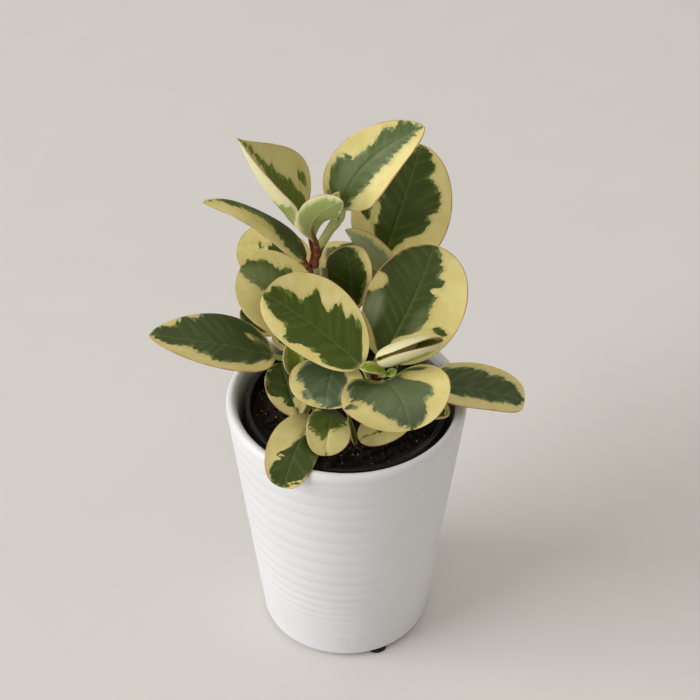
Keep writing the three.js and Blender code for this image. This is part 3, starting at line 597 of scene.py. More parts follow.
# --- materials
def leaf_material():
    shader = Shader("leaf_skin")
    fields = ("green", "margin", "lower", "stalk", "bloom_and_sheen")
    green, margin, lower, stalk, bloom_and_sheen = [shader.attribute(field) for field in fields]
    blue_grey_and_sheen, young, red = shader.split(shader.attribute("tone", "Vector"))
    vein = shader.attribute("vein", "Vector")
    from_rib = shader.split(vein)[1]
    place = shader.place()

    # Lobes, fingers and jags that run out along the side veins bound the green area.
    jags, fingers, lobes = [shader.swing(vein, **noise) for noise in (JAGS, FINGERS, LOBES)]
    jagged = shader.add(jags, fingers, lobes, green)
    is_green = shader.step(jagged, low=-0.3, high=0.3)

    # Inside it the green is darker, but for a greyer rim and a few pale strokes along the veins.
    is_dark = shader.step(shader.add(jagged, shader.swing(vein, **PATCHES)), low=0.2, high=1.4)
    strokes = shader.step(shader.noise(vein, **STROKES), low=0.42, high=0.7)
    is_dark = shader.times(is_dark, shader.less(shader.times(strokes, STROKE_STRENGTH)))
    # The blue-grey share of a leaf's tone is partly a glaucous tint and partly painted sheen.
    middle = shader.mix(blue_grey_and_sheen, MIDDLE_GREEN, BLUE_SHEEN_GREEN)
    greens = shader.mix(is_dark, middle, shader.mix(blue_grey_and_sheen, DARK_GREEN, BLUE_SHEEN_DARK))
    rib_line = shader.less(shader.step(from_rib, low=0.15, high=0.6))
    greens = shader.mix(shader.times(rib_line, RIB_LINE_STRENGTH), greens, RIB_PALE)
    # Pale patches over the green: partly the leaf's waxy coat, partly painted sheen.
    greens = shader.mix(bloom_and_sheen, greens, BLOOM_AND_SHEEN_GREEN)

    # Outside it the cream is mottled, and greenish close to the green.
    mottle = shader.step(shader.noise(place, scale=0.09, detail=2), low=0.3, high=0.7)
    cream = shader.mix(mottle, CREAM, CREAM_SHADE)
    halo = shader.times(shader.step(jagged, low=-2.5, high=0.0), GREEN_HALO_STRENGTH)
    upper = shader.mix(is_green, shader.mix(halo, cream, MIDDLE_GREEN), greens)

    young_colour = shader.mix(shader.step(jagged, low=-1.0, high=1.0), YOUNG_PALE, YOUNG_GREEN)
    under_green = shader.mix(young, UNDER_GREEN, YOUNG_GREEN)
    under = shader.mix(shader.step(jagged, low=-1.5, high=1.5), UNDER_CREAM, under_green)
    blade = shader.mix(lower, shader.mix(young, upper, young_colour), under)

    # A thin broken reddish line runs round the margin.
    breaks = shader.swing(place, reach=1, scale=0.1, detail=2)
    pink = shader.less(shader.step(shader.add(margin, breaks), low=0.1, high=0.5))
    pink = shader.times(pink, shader.less(shader.times(young, MARGIN_LOSS_WHEN_YOUNG)))
    blade = shader.mix(shader.times(pink, MARGIN_STRENGTH), blade, MARGIN_PINK)

    # A few small brown specks lie on the blades.
    cells = shader.node("ShaderNodeTexVoronoi", dict(Vector=place, Scale=SPECK_SCALE)).outputs
    speck = shader.less(shader.step(cells["Distance"], low=0.035, high=0.06))
    rare = shader.step(shader.split(cells["Color"])[0], low=0.88, high=0.9)
    blade = shader.mix(shader.times(speck, rare, SPECK_STRENGTH), blade, SPECK_BROWN)

    flush = shader.swing(place, reach=0.5, scale=0.25, detail=2)
    redness = shader.step(shader.add(red, flush), low=0.35, high=0.95)
    stalk_colour = shader.mix(redness, STALK_GREEN, STALK_RED)

    grain = shader.noise(place, scale=1.6, detail=3, roughness=0.6)
    pores = shader.bump(grain, depth=0.05, strength=0.6)
    return shader.finish(
        Base_Color=shader.mix(stalk, blade, stalk_colour),
        Roughness=shader.add(0.36, shader.times(grain, 0.16), shader.times(blue_grey_and_sheen, 0.04)),
        Specular_IOR_Level=0.3,
        Normal=shader.bump(shader.noise(vein, **STREAKS), depth=0.05, strength=0.6, onto=pores),
    )


def stem_material():
    shader = Shader("stem_skin")
    place = shader.place()
    blotch = shader.swing(place, reach=0.45, scale=(0.5, 0.5, 0.16), detail=3)
    redness = shader.step(shader.add(shader.attribute("red"), blotch), low=0.3, high=0.8)
    fibre = shader.noise(place, scale=(2.2, 2.2, 0.3), detail=3)
    return shader.finish(
        Base_Color=shader.mix(redness, STALK_GREEN, STALK_RED),
        Roughness=shader.add(0.4, shader.times(fibre, 0.2)),
        Normal=shader.bump(fibre, depth=0.12, strength=0.7),
    )


def glaze_material():
    shader = Shader("white_glaze")
    place = shader.place()
    cloud = shader.step(shader.noise(place, scale=0.03, detail=2), low=0.3, high=0.7)
    fine = shader.noise(place, scale=0.9, detail=3)
    ripple = shader.noise(place, scale=(0.05, 0.05, 0.4), detail=2)
    rippled = shader.bump(ripple, depth=0.18, strength=0.5)
    return shader.finish(
        Base_Color=shader.mix(cloud, GLAZE, GLAZE_CLOUD),
        Roughness=shader.add(0.36, shader.times(fine, 0.14)),
        Coat_Weight=0.15,
        Coat_Roughness=0.3,
        Normal=shader.bump(fine, depth=0.03, strength=0.5, onto=rippled),
    )


def plastic_material():
    shader = Shader("black_plastic")
    place = shader.place()
    dust = shader.noise(place, scale=0.35, detail=5, roughness=0.65)
    fine = shader.noise(place, scale=1.4, detail=3)
    return shader.finish(
        Base_Color=shader.mix(shader.step(dust, low=0.55, high=0.8), PLASTIC_BLACK, PLASTIC_DUST),
        Roughness=shader.add(0.18, shader.times(dust, 0.3)),
        Normal=shader.bump(fine, depth=0.04, strength=0.6),
    )


def pad_material():
    shader = Shader("pad_rubber")
    fine = shader.noise(shader.place(), scale=2.5, detail=3)
    return shader.finish(
        Base_Color=shader.mix(fine, PAD_BLACK, PAD_WORN),
        Roughness=0.85,
        Normal=shader.bump(fine, depth=0.1, strength=0.6),
    )


def earth_material(name):
    dark, light, roughness = EARTHS[name]
    shader = Shader(name)
    place = shader.place()
    tint = shader.noise(place, scale=0.8, detail=4, roughness=0.65)
    fine = shader.noise(place, scale=2.2, detail=4, roughness=0.7)
    return shader.finish(
        Base_Color=shader.mix(shader.step(tint, low=0.35, high=0.68), dark, light),
        Roughness=roughness,
        Normal=shader.bump(fine, depth=0.5, strength=0.9),
    )


def floor_material():
    shader = Shader("pale_floor")
    fine = shader.noise(shader.place(), scale=0.02, detail=3)
    return shader.finish(
        Base_Color=shader.mix(fine, FLOOR_PALE, FLOOR_CLOUD),
        Roughness=0.9,
        Specular_IOR_Level=0.1,
    )


# --- mesh helpers
def unit(vector):
    return vector / np.linalg.norm(vector)


def across(vector, direction):
    """The part of the vector at right angles to the direction, at length 1."""
    return unit(vector - direction * np.dot(vector, direction))


def turned(vector, axis, angle):
    """The vector turned about the axis by the angle."""
    along = axis * np.dot(axis, vector)
    aside = np.cross(axis, vector)
    return vector * math.cos(angle) + aside * math.sin(angle) + along * (1 - math.cos(angle))


def smoothstep(value, low, high):
    share = np.clip((value - low) / (high - low), 0, 1)
    return share * share * (3 - 2 * share)


def lerp(start, end, share):
    return start + (end - start) * share


def in_scene(name, data):
    """A new object with that data, as a part of the scene."""
    made = bpy.data.objects.new(name, data)
    bpy.context.scene.collection.objects.link(made)
    return made


def make_piece(name, vertices, faces, material, slot, replaces=(), values=None):
    """A smooth mesh from points in millimetres, which rides on the object."""
    mesh = bpy.data.meshes.new(name)
    mesh.from_pydata((np.asarray(vertices) * MM).tolist(), [], faces)
    mesh.update()
    mesh.shade_smooth()
    for key, value in (values or {}).items():
        value = np.asarray(value, np.float32)
        kind = "FLOAT" if value.ndim == 1 else "FLOAT_VECTOR"
        layer = mesh.attributes.new(key, kind, "POINT")
        layer.data.foreach_set("value" if kind == "FLOAT" else "vector", value.ravel())
    mesh.materials.append(material)
    piece = in_scene(name, mesh)
    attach(piece, BODY)
    if replaces:
        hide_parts(*replaces)
    return piece


def ring_faces(rows, count):
    """Quads between rings of the same count of points, each ring going left round its way ahead."""
    faces = []
    for row in range(rows - 1):
        near = row * count
        for index in range(count):
            after = (index + 1) % count
            faces.append((near + index, near + after, near + count + after, near + count + index))
    return faces


def capped(rings, start_pole, end_pole):
    """The vertices and faces of rings closed by a point at each end."""
    rows, count = rings.shape[:2]
    vertices = np.vstack([rings.reshape(-1, 3), start_pole, end_pole])
    faces = ring_faces(rows, count)
    first_pole = rows * count
    last = (rows - 1) * count
    for index in range(count):
        after = (index + 1) % count
        faces.append((first_pole, after, index))
        faces.append((first_pole + 1, last + index, last + after))
    return vertices, faces


def lathe(profile, sides, centre=(0, 0)):
    """A profile of (radius, height) pairs that starts and ends on the axis, turned round it."""
    profile = np.array(profile, float)
    angles = np.linspace(0, 2 * math.pi, sides, endpoint=False)
    radius = profile[1:-1, 0][:, None]
    height = profile[1:-1, 1][:, None] * np.ones(sides)
    rings = np.stack([centre[0] + radius * np.cos(angles), centre[1] + radius * np.sin(angles), height], 2)
    poles = [(centre[0], centre[1], profile[end, 1]) for end in (0, -1)]
    return capped(rings, poles[0], poles[1])


def arc(centre, radius, start, end, steps):
    """Points of a round or oval arc in a profile. Angles are in degrees from straight out."""
    turns = np.radians(np.linspace(start, end, steps + 1))
    spread = radius if isinstance(radius, tuple) else (radius, radius)
    return [(centre[0] + spread[0] * math.cos(t), centre[1] + spread[1] * math.sin(t)) for t in turns]


# --- ceramic pot
def pot_radius(height):
    return lerp(POT_BASE_RADIUS, POT_RIM_RADIUS, height / (POT_HEIGHT - POT_LIP))


def groove_heights():
    heights = []
    height = RIB_TOP
    while height > RIB_BOTTOM:
        heights.append(height)
        height -= min(RIB_PITCH_TOP, RIB_PITCH_BOTTOM + RIB_PITCH_GROWTH * (height - RIB_BOTTOM))
    return heights[::-1]


def groove_depth(height):
    """The ribs grow fainter towards the plain band at the foot."""
    return RIB_DEPTH * lerp(RIB_FOOT_SHARE, 1, smoothstep(height, RIB_BOTTOM, RIB_FULL_HEIGHT))


def ceramic_pot(material):
    foot_radius = pot_radius(POT_FOOT_CURVE) - POT_FOOT_CURVE
    profile = [(0, 0), (foot_radius / 2, 0)]
    profile += arc((foot_radius, POT_FOOT_CURVE), POT_FOOT_CURVE, -90, 0, CURVE_STEPS)
    grooves = groove_heights()
    for low, high in zip(grooves, grooves[1:]):
        for step in range(RIB_STEPS):
            share = step / RIB_STEPS
            height = lerp(low, high, share)
            crest = math.sin(math.pi * share) ** RIB_ROUNDNESS
            profile.append((pot_radius(height) - groove_depth(height) * (1 - crest), height))
    profile.append((pot_radius(grooves[-1]) - groove_depth(grooves[-1]), grooves[-1]))
    lip_middle = POT_RIM_RADIUS - POT_WALL / 2
    profile += arc((lip_middle, POT_HEIGHT - POT_LIP), (POT_WALL / 2, POT_LIP), 0, 180, LIP_STEPS)
    inner = pot_radius(POT_FLOOR) - POT_WALL - POT_INNER_CURVE
    profile += arc((inner, POT_FLOOR + POT_INNER_CURVE), POT_INNER_CURVE, 0, -90, CURVE_STEPS)
    profile += [(inner / 2, POT_FLOOR), (0, POT_FLOOR)]
    make_piece("glazed_pot", *lathe(profile, POT_SIDES), material, "ceramic", ["ceramic_pot"])


def foot_pads(material):
    for node in FOOT_PADS:
        low, high = box_mm(node)
        middle = (low + high) / 2
        radius = (high[0] - low[0]) / 2
        profile = [(0, low[2])]
        profile += arc((radius - PAD_EDGE, low[2] + PAD_EDGE), PAD_EDGE, -90, 0, PAD_EDGE_STEPS)
        profile += arc((radius - PAD_EDGE, high[2] - PAD_EDGE), PAD_EDGE, 0, 90, PAD_EDGE_STEPS)
        profile.append((0, high[2]))
        make_piece("round_" + node, *lathe(profile, PAD_SIDES, middle[:2]), material, "pad", [node])


# --- nursery pot
def nursery_outer(height):
    top = NURSERY_RIM_RADIUS - NURSERY_BAND_STEP
    share = (height - NURSERY_LOW[2]) / (NURSERY_HIGH[2] - NURSERY_LOW[2])
    return lerp(NURSERY_BASE_RADIUS, top, share)


def nursery_pot(material):
    low = NURSERY_LOW[2]
    top = NURSERY_HIGH[2]
    band_low = top - NURSERY_BAND
    edge = NURSERY_EDGE
    rim_inner = NURSERY_RIM_RADIUS - NURSERY_WALL - edge
    foot = NURSERY_BASE_RADIUS - NURSERY_FOOT_EDGE
    profile = [(0, low)]
    profile += arc((foot, low + NURSERY_FOOT_EDGE), NURSERY_FOOT_EDGE, -90, 0, CURVE_STEPS)
    profile.append((nursery_outer(band_low), band_low))
    profile += arc((NURSERY_RIM_RADIUS - edge, band_low + edge), edge, -90, 0, CURVE_STEPS)
    profile += arc((NURSERY_RIM_RADIUS - edge, top - edge), edge, 0, 90, CURVE_STEPS)
    profile += arc((rim_inner, top - edge), edge, 90, 180, CURVE_STEPS)
    profile.append((nursery_outer(band_low) - NURSERY_WALL, band_low))
    profile.append((NURSERY_BASE_RADIUS - NURSERY_WALL, low + NURSERY_WALL))
    profile.append((0, low + NURSERY_WALL))
    body = lathe(profile, NURSERY_SIDES)
    pot = make_piece("grow_pot", *body, material, "nursery_plastic", ["nursery_pot"])
    cut_drain_holes(pot)


def cut_drain_holes(pot):
    """Takes the drain holes out of the pot's floor, one after the other."""
    for hole in range(DRAIN_COUNT):
        angle = 2 * math.pi * hole / DRAIN_COUNT
        form = bmesh.new()
        centre = (DRAIN_REACH * math.cos(angle), DRAIN_REACH * math.sin(angle), NURSERY_LOW[2])
        place = Matrix.Translation(Vector(centre) * MM)
        radius = DRAIN_RADIUS * MM
        bmesh.ops.create_cone(
            form, cap_ends=True, segments=DRAIN_SIDES, radius1=radius, radius2=radius,
            depth=DRAIN_CUT_HEIGHT * MM, matrix=place,
        )
        cutter = in_scene("drain_cutter", bpy.data.meshes.new("drain_cutter"))
        form.to_mesh(cutter.data)
        form.free()
        change = pot.modifiers.new("drain", "BOOLEAN")
        change.operation = "DIFFERENCE"
        change.solver = "EXACT"
        change.object = cutter
        with bpy.context.temp_override(object=pot, active_object=pot):
            bpy.ops.object.modifier_apply(modifier=change.name)
        bpy.data.objects.remove(cutter)


# --- soil
def lattice_noise(x, y, pitch, seed):
    """Smooth bumps from -1 to 1 about one pitch apart."""
    values = np.random.RandomState(seed).uniform(-1, 1, (LATTICE_SIZE, LATTICE_SIZE))
    column, row = x / pitch + LATTICE_SIZE // 2, y / pitch + LATTICE_SIZE // 2
    left, low = np.floor(column).astype(int), np.floor(row).astype(int)
    across_share = smoothstep(column - left, 0, 1)
    up_share = smoothstep(row - low, 0, 1)
    below = lerp(values[low, left], values[low, left + 1], across_share)
    above = lerp(values[low + 1, left], values[low + 1, left + 1], across_share)
    return lerp(below, above, up_share)


def soil_height(x, y):
    swell_height, swell_along, swell_across, swell_shift = SOIL_SWELL
    swell = swell_height * np.sin(x * swell_along + swell_shift) * np.cos(y * swell_across)
    ripple_height, ripple_along, ripple_across = SOIL_RIPPLE
    ripple = ripple_height * np.sin(x * ripple_along - y * ripple_across)
    dome = 1 - np.hypot(x, y) / NURSERY_RIM_RADIUS
    height = SOIL_TOP + swell + ripple + dome
    for layer, (clod_height, pitch) in enumerate(SOIL_CLODS):
        height = height + clod_height * lattice_noise(x, y, pitch, SOIL_SEED + layer)
    return height


def soil_radius(height):
    return nursery_outer(height) - NURSERY_WALL - SOIL_GAP


def soil(material):
    angles = np.linspace(0, 2 * math.pi, SOIL_SIDES, endpoint=False)
    round_x, round_y = np.cos(angles), np.sin(angles)
    bottom = soil_radius(SOIL_LOW)
    rings = [np.stack([bottom * round_x, bottom * round_y, 0 * angles + SOIL_LOW], 1)]
    wall = soil_radius(SOIL_TOP)
    for radius in np.linspace(wall, wall / SOIL_RINGS, SOIL_RINGS):
        x, y = radius * round_x, radius * round_y
        rings.append(np.stack([x, y, soil_height(x, y)], 1))
    top_pole = (0, 0, float(soil_height(np.array(0.0), np.array(0.0))))
    bed = capped(np.array(rings), (0, 0, SOIL_LOW), top_pole)
    make_piece("soil_bed", *bed, material, "soil", ["soil"])


def scatter(plan, material):
    """Small rough lumps that lie in the soil's surface, joined in one piece."""
    random = np.random.RandomState(plan["seed"])
    form = bmesh.new()
    bmesh.ops.create_icosphere(form, subdivisions=2, radius=1)
    ball = np.array([vertex.co for vertex in form.verts])
    ball_faces = np.array([[vertex.index for vertex in face.verts] for face in form.faces])
    form.free()
    reach = nursery_outer(SOIL_TOP) - NURSERY_WALL - plan["size"][1] * plan["stretch"][1]
    vertices, faces = [], []
    for lump in range(plan["count"]):
        angle = random.uniform(0, 2 * math.pi)
        distance = reach * math.sqrt(random.uniform(0, 1))
        size = lerp(*plan["size"], random.uniform(0, 1) ** 2)
        stretch = random.uniform(*plan["stretch"])
        scale = size * np.array([stretch, random.uniform(*LUMP_WIDTH), random.uniform(*LUMP_HEIGHT)])
        dented = ball * (1 + random.uniform(-LUMP_DENT, LUMP_DENT, (len(ball), 1)))
        spin = np.array(Matrix.Rotation(random.uniform(0, 2 * math.pi), 3, "Z"))
        tilt = np.array(Matrix.Rotation(random.uniform(-LUMP_TILT, LUMP_TILT), 3, "X"))
        x, y = distance * math.cos(angle), distance * math.sin(angle)
        height = float(soil_height(np.array(x), np.array(y))) + LUMP_RISE * scale[2]
        faces += (ball_faces + len(ball) * lump).tolist()
        vertices.append((dented * scale) @ (spin @ tilt).T + (x, y, height))
    make_piece(plan["name"], np.vstack(vertices), faces, material, "soil")


# --- shoots
def shoot_curve(shoot, share):
    """A point of the smooth line through the shoot's path, for a share from 0 to 1."""
    path = [np.array(spot, float) for spot in shoot["path"]]
    path = [2 * path[0] - path[1], *path, 2 * path[-1] - path[-2]]
    position = share * (len(path) - 3)
    span = min(int(position), len(path) - 4)
    weight = position - span
    one, two, three, four = path[span:span + 4]
    steps = ((one, two), (two, three), (three, four))
    before, within, after = [np.linalg.norm(end - start) ** PATH_TIGHTNESS for start, end in steps]
    leaving = (two - one) / before - (three - one) / (before + within) + (three - two) / within
    arriving = (three - two) / within - (four - two) / (within + after) + (four - three) / after
    leaving, arriving = within * leaving, within * arriving
    square = -3 * two + 3 * three - 2 * leaving - arriving
    cube = 2 * two - 2 * three + leaving + arriving
    return two + leaving * weight + square * weight ** 2 + cube * weight ** 3


def shoot_axis_at(shoot, height):
    """The point of the shoot's middle line at that height, found by halving."""
    low, high = 0.0, 1.0
    for _ in range(HALVINGS):
        middle = (low + high) / 2
        if shoot_curve(shoot, middle)[2] < height:
            low = middle
        else:
            high = middle
    return shoot_curve(shoot, (low + high) / 2)


def stem(name, shoot, material):
    """The shoot as a round stem, swollen a little where a leaf grows from it."""
    steps = STEM_STEPS_PER_SPAN * (len(shoot["path"]) - 1)
    line = np.array([shoot_curve(shoot, step / steps) for step in range(steps + 1)])
    plans = [{**USUAL_LEAF, **plan} for plan in (*LEAVES.values(), *BUDS.values())]
    nodes = np.array([shoot_axis_at(shoot, plan["root"]) for plan in plans if plan["shoot"] == name])
    angles = np.linspace(0, 2 * math.pi, STEM_SIDES, endpoint=False)
    from_height, full_from, full_to, to_height = shoot["red"]
    rings, redness = [], []
    up = np.array([1.0, 0, 0])
    for step, spot in enumerate(line):
        direction = unit(line[min(step + 1, steps)] - line[max(step - 1, 0)])
        up = across(up, direction)
        side = np.cross(direction, up)
        near = np.exp(-((np.linalg.norm(nodes - spot, axis=1) / STEM_SWELLING_REACH) ** 2))
        radius = shoot["radius"] * (1 + STEM_SWELLING * near.max())
        from_end = np.linalg.norm(line[-1] - spot)
        if from_end < radius:
            radius *= math.sqrt(max(1 - (1 - from_end / radius) ** 2, STEM_END_SHARE))
        rings.append(spot + radius * (np.outer(np.cos(angles), up) + np.outer(np.sin(angles), side)))
        rising = smoothstep(spot[2], from_height, full_from)
        redness.append(float(rising * (1 - smoothstep(spot[2], full_to, to_height))))
    red = np.concatenate([np.repeat(redness, STEM_SIDES), [redness[0], redness[-1]]])
    body = capped(np.array(rings), line[0], line[-1])
    make_piece("stem_" + name, *body, material, "stem", [name], dict(red=red))


# --- leaves
def blade_outline(u, ends):
    foot_power, tip_power = ends
    widest = foot_power / (foot_power + tip_power)
    return (u / widest) ** foot_power * ((1 - u) / (1 - widest)) ** tip_power


def folds_at(plan, u):
    """How far the left and right halves turn up at this place along the rib, in radians."""
    middle = np.array(plan["fold"], float)
    foot = np.array(plan.get("fold_foot", middle / 2), float)
    tip = np.array(plan.get("fold_tip", middle), float)
    near = smoothstep(u, 0, FOLD_FOOT_SHARE)
    far = smoothstep(u, FOLD_FOOT_SHARE, 1)
    return np.radians(lerp(lerp(foot, middle, near), tip, far))


def columns():
    """Places across the blade from -1 to 1, closer together at the rib and at the margins."""
    share = np.linspace(0, 1, BLADE_COLUMNS + 1)
    bunched = share - COLUMN_BUNCHING * np.sin(2 * math.pi * share) / (2 * math.pi)
    return np.concatenate([-bunched[:0:-1], bunched])


def around(upper, right, lower, left):
    """Values once round a leaf's section: its upper side, right margin, lower side and left margin."""
    return np.concatenate([upper, right, lower[::-1], left[::-1]])


# What is the same in every leaf's section, across its upper side and then once round it.
ACROSS = columns()
IS_RIGHT = (ACROSS > 0).astype(int)
SIDES = np.sign(ACROSS)
ROUND_MARGIN = np.radians(np.linspace(90, -90, MARGIN_STEPS + 2)[1:-1])
ONES = np.ones(MARGIN_STEPS)
RING_RIGHT = around(IS_RIGHT, ONES, IS_RIGHT, 0 * ONES).astype(int)
RING_SIDES = around(SIDES, ONES, SIDES, -ONES)
RING_LOWER = around(0 * ACROSS, ONES / 2, 0 * ACROSS + 1, ONES / 2)


def stalk_rows(plan, foot, rib_start, up):
    """Centre, direction, upward side and place, from -1 to 0, of each ring of the stalk."""
    shoot = SHOOTS[plan["shoot"]]
    axis = shoot_axis_at(shoot, plan["root"])
    outward = unit(np.array([*plan.get("leave", (foot - axis)[:2]), 0.0]))
    outward = unit(outward + np.array([0, 0, STALK_RISE]))
    start = axis + outward * shoot["radius"] / 2
    ease = np.linalg.norm(foot - start) * STALK_EASE
    knots = [start, start + outward * ease, foot - rib_start * ease, foot]
    rows = []
    for row in range(STALK_ROWS - 1, -1, -1):
        t = row / STALK_ROWS
        s = 1 - t
        spot = s ** 3 * knots[0] + 3 * s * s * t * knots[1] + 3 * s * t * t * knots[2] + t ** 3 * knots[3]
        slope = s * s * (knots[1] - knots[0]) + 2 * s * t * (knots[2] - knots[1])
        direction = unit(slope + t * t * (knots[3] - knots[2]))
        up = across(up, direction)
        rows.insert(0, (spot, direction, up, t - 1))
    return rows


def blade_rows(plan, foot, control, tip):
    """The same of each ring of the blade, with its place along the rib from 0 to 1."""
    face = np.array(plan["face"], float)
    rows = []
    for row in range(BLADE_ROWS):
        u = (1 - math.cos(math.pi * row / BLADE_ROWS)) / 2
        spot = (1 - u) ** 2 * foot + 2 * u * (1 - u) * control + u * u * tip
        direction = unit((1 - u) * (control - foot) + u * (tip - control))
        twist = math.radians(plan["twist"]) * u
        rows.append((spot, direction, turned(across(face, direction), direction, twist), u))
    return rows


def eased(place, along, values):
    """The value at a place between those given, which turns softly at each of them."""
    after = np.clip(np.searchsorted(along, place), 1, len(along) - 1)
    share = smoothstep(place, along[after - 1], along[after])
    return lerp(values[after - 1], values[after], share)


def green_edge(u, v, half, length, along, values):
    """Where the green area ends across the blade, with its lobes slanted as the side veins are."""
    straight = eased(u, along, values)
    outside = np.clip((np.abs(v) - np.abs(straight)) * half, -LOBE_SLANT_REACH, LOBE_SLANT_REACH)
    return eased(u - VEIN_SLANT * outside / length, along, values)


def from_island(u, v, island):
    """How far a place lies from an island's middle, where 1 is the island's rim."""
    return np.hypot((u - island[0]) / island[2], (v - island[1]) / island[3])


def green_depth(plan, u, v, half):
    """How far inside the leaf's green area a place lies, in millimetres, and less than 0 outside."""
    along, low, high = np.array(plan["green"], float).T
    length = math.dist(plan["rib"][0], plan["rib"][-1])
    low_edge = green_edge(u, v, half, length, along, low)
    high_edge = green_edge(u, v, half, length, along, high)
    depth = np.minimum(v - low_edge, high_edge - v) * half
    for spot in plan["spots"]:
        inside = (1 - from_island(u, v, spot)) * spot[3] * half
        inside = np.clip(inside, -ISLAND_REACH, ISLAND_REACH)
        depth = np.maximum(depth, inside) if spot[4] > 0 else np.minimum(depth, -inside)
    return depth


def bloom_and_sheen_strength(plan, u, v):
    """How strong the pale patches, partly waxy coat and partly painted sheen, are at a place on the blade,
    from 0 to 1.
    """
    strength = 0 * v
    for spot in plan["bloom_and_sheen"]:
        fading = smoothstep(from_island(u, v, spot), *BLOOM_AND_SHEEN_FADES)
        strength = np.maximum(strength, spot[4] * (1 - fading))
    return strength


def thick_power(one, two):
    """Two thicknesses run softly into one."""
    return (one ** 3 + two ** 3) ** (1 / 3)


def bent_up(spot, side, up, arcs, angle):
    """Where a bent blade's places at these distances from the rib lie, and its normals there."""
    bent = np.abs(angle) > FLAT_ANGLE
    safe = np.where(bent, angle, 1)
    out = np.where(bent, arcs * np.sin(angle) / safe, arcs)
    lift = np.where(bent, arcs * (1 - np.cos(angle)) / safe, 0)
    normal = np.outer(np.cos(angle), up) - np.outer(np.sin(angle) * RING_SIDES, side)
    return spot + np.outer(out * RING_SIDES, side) + np.outer(lift, up), normal


def leaf_ring(plan, index, phases, travelled, row):
    """One ring of a leaf's surface, and what the leaf's material needs to know at each of its points."""
    spot, direction, up, place = row
    side = np.cross(direction, up)
    u = max(place, 0)
    root_fade = 1 - smoothstep(u, *STALK_FADES)
    stalk = plan["stalk"]
    if place < 0:
        stalk *= 1 + STALK_FLARE * (1 - smoothstep(place, *STALK_FLARE_FADES))
    outline = blade_outline(u, plan["ends"]) if u > 0 else 0
    half = ((plan["width"] / 2 * outline) ** 3 + (stalk * root_fade) ** 3 + TIP_RADIUS ** 3) ** (1 / 3)
    lean = plan["lean"] * (u > 0)
    halves = half * np.array([1 - lean, 1 + lean])
    edge = min(MARGIN_RADIUS, half / 2)
    arcs = (halves[IS_RIGHT] - edge) * np.abs(ACROSS)

    # The stalk runs on as a ridge below the blade, and for a short way above it.
    rib_radius = lerp(stalk, RIB_TIP_RADIUS, smoothstep(u, *RIB_TAPERS))
    low_ridge = np.sqrt(np.clip(rib_radius ** 2 - arcs ** 2, 0, None))
    high_ridge = np.sqrt(np.clip(stalk ** 2 - arcs ** 2, 0, None)) * root_fade

    # A groove follows the rib, the blade swells between its side veins, and its margin waves.
    grown = smoothstep(u, *DETAIL_COMES)
    groove = GROOVE_DEPTH * grown * (1 - GROOVE_LOSS * smoothstep(u, *GROOVE_FADES))
    groove = groove * np.exp(-(arcs / GROOVE_WIDTH) ** 2)
    vein_turns = (travelled - VEIN_SLANT * arcs) / VEIN_PITCH
    quilt = QUILT_HEIGHT * np.cos(2 * math.pi * vein_turns + phases[0]) * grown
    quilt = quilt * smoothstep(arcs, *QUILT_COMES_FROM_RIB)
    quilt = quilt * smoothstep(halves[IS_RIGHT] - arcs, *QUILT_COMES_FROM_MARGIN)
    wave = WAVE_HEIGHT * min(1, half / WAVE_FULL_HALF_WIDTH) * ACROSS ** 2 * grown
    wave = wave * np.sin(WAVE_PACE * u * (1 + WAVE_UNEVENNESS * SIDES) + phases[1 + IS_RIGHT])

    above = thick_power(BLADE_HALF_THICKNESS, high_ridge) - groove + quilt
    below = thick_power(BLADE_HALF_THICKNESS, low_ridge) - quilt / 2
    left, right = [
        (halves[hand] - edge + edge * np.cos(ROUND_MARGIN),
         (above[end] - below[end]) / 2 + (above[end] + below[end]) / 2 * np.sin(ROUND_MARGIN))
        for hand, end in ((0, 0), (1, -1))
    ]
    ring_arcs = around(arcs, right[0], arcs, left[0])
    ring_lift = around(above, right[1], -below, left[1])
    ring_wave = around(wave, ONES * wave[-1], wave, ONES * wave[0])

    share = np.clip(ring_arcs / halves[RING_RIGHT], 0, 1)
    folds = folds_at(plan, u) if place >= 0 else np.zeros(2)
    ring, normal = bent_up(spot, side, up, ring_arcs, folds[RING_RIGHT] * share)
    ring = ring + normal * (ring_lift + ring_wave)[:, None]

    at_foot = 1 - smoothstep(u, *STALK_COLOUR_FADES)
    under_rib = np.exp(-(ring_arcs / rib_radius) ** 2) * (1 - smoothstep(u, *RIB_COLOUR_FADES))
    noise_place = index * LEAF_NOISE_STEP + (RING_SIDES > 0) * HALF_NOISE_STEP
    marks = dict(
        green=green_depth(plan, u, share * RING_SIDES, half),
        bloom_and_sheen=bloom_and_sheen_strength(plan, u, share * RING_SIDES),
        margin=halves[RING_RIGHT] - ring_arcs + MARGIN_KEPT_OFF_STALK * root_fade,
        lower=RING_LOWER,
        stalk=np.maximum(at_foot, under_rib * (RING_LOWER == 1)),
        vein=np.stack([travelled - VEIN_SLANT * ring_arcs, ring_arcs, noise_place], 1),
    )
    return ring, marks


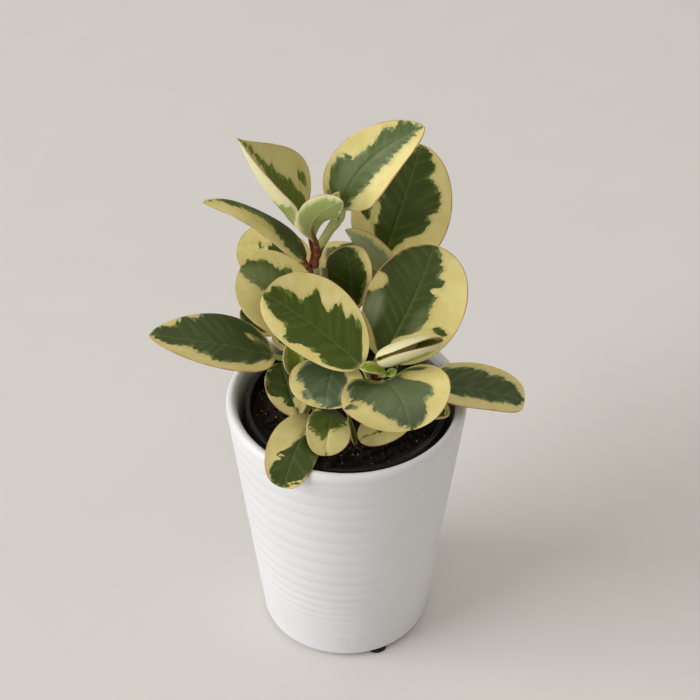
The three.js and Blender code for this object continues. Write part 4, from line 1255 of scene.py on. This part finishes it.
def leaf(name, plan, index, material, slot, replaces=()):
    """The whole leaf: a stalk that grows out of its shoot, a ribbed blade and a round margin."""
    plan = {**USUAL_LEAF, **plan}
    foot, middle, tip = [np.array(spot, float) for spot in plan["rib"]]
    control = 2 * middle - foot / 2 - tip / 2
    rib_start = unit(control - foot)
    first_up = across(np.array(plan["face"], float), rib_start)
    rows = stalk_rows(plan, foot, rib_start, first_up) + blade_rows(plan, foot, control, tip)
    phases = np.random.RandomState(LEAF_SEED + index).uniform(0, 2 * math.pi, 4)

    rings, marks = [], []
    travelled = 0.0
    before = rows[0][0]
    for row in rows:
        travelled += np.linalg.norm(row[0] - before)
        before = row[0]
        ring, ring_marks = leaf_ring(plan, index, phases, travelled, row)
        rings.append(ring)
        marks.append(ring_marks)
    vertices, faces = capped(np.array(rings), rows[0][0], tip)
    values = dict(tone=np.tile(plan["tone"], (len(vertices), 1)))
    for key in marks[0]:
        stacked = np.concatenate([ring_marks[key] for ring_marks in marks])
        values[key] = np.concatenate([stacked, stacked[:1], stacked[-1:]])
    make_piece(name, vertices, faces, material, slot, replaces, values)


# --- stage
def add_camera():
    data = bpy.data.cameras.new("camera")
    data.lens = CAMERA_LENS
    data.sensor_width = SENSOR_WIDTH
    data.clip_start = CAMERA_NEAR
    data.clip_end = CAMERA_FAR
    camera = in_scene("camera", data)
    camera.location = CAMERA_PLACE
    tilt = Matrix.Rotation(math.pi / 2 - CAMERA_PITCH, 3, "X") @ Matrix.Rotation(CAMERA_ROLL, 3, "Z")
    camera.rotation_euler = tilt.to_euler()
    bpy.context.scene.camera = camera


def add_lights():
    for plan in LIGHTS:
        data = bpy.data.lights.new(plan["name"], "AREA")
        data.shape = "SQUARE"
        data.size = plan["size"]
        data.energy = plan["power"]
        data.color = plan["colour"]
        light = in_scene(plan["name"], data)
        light.location = plan["place"]
        ahead = Vector(LIGHT_AIM) - Vector(plan["place"])
        light.rotation_euler = ahead.to_track_quat("-Z", "Y").to_euler()
    world = bpy.data.worlds.new("sky")
    world.use_nodes = True
    background = world.node_tree.nodes["Background"]
    background.inputs["Color"].default_value = (*SKY_COLOUR, 1)
    background.inputs["Strength"].default_value = SKY_STRENGTH
    bpy.context.scene.world = world


def add_floor():
    mesh = bpy.data.meshes.new("floor")
    turns = ((-1, -1), (1, -1), (1, 1), (-1, 1))
    corners = [(x * FLOOR_REACH, y * FLOOR_REACH, FLOOR_HEIGHT * MM) for x, y in turns]
    mesh.from_pydata(corners, [], [(0, 1, 2, 3)])
    mesh.materials.append(floor_material())
    in_scene("floor", mesh)


# --- the whole object
add_camera()
add_lights()
add_floor()
bpy.context.scene.view_settings.view_transform = "Standard"

ceramic_pot(glaze_material())
foot_pads(pad_material())
nursery_pot(plastic_material())
soil(earth_material("soil_dark"))
for scatter_plan in SCATTERS:
    scatter(scatter_plan, earth_material(scatter_plan["look"]))
stem_skin = stem_material()
for shoot_name, shoot_plan in SHOOTS.items():
    stem(shoot_name, shoot_plan, stem_skin)
leaf_skin = leaf_material()
for leaf_index, (leaf_name, leaf_plan) in enumerate(LEAVES.items()):
    leaf("fine_" + leaf_name, leaf_plan, leaf_index, leaf_skin, "leaf", [leaf_name])
for bud_index, (bud_name, bud_plan) in enumerate(BUDS.items(), len(LEAVES)):
    leaf(bud_name, bud_plan, bud_index, leaf_skin, "stem")
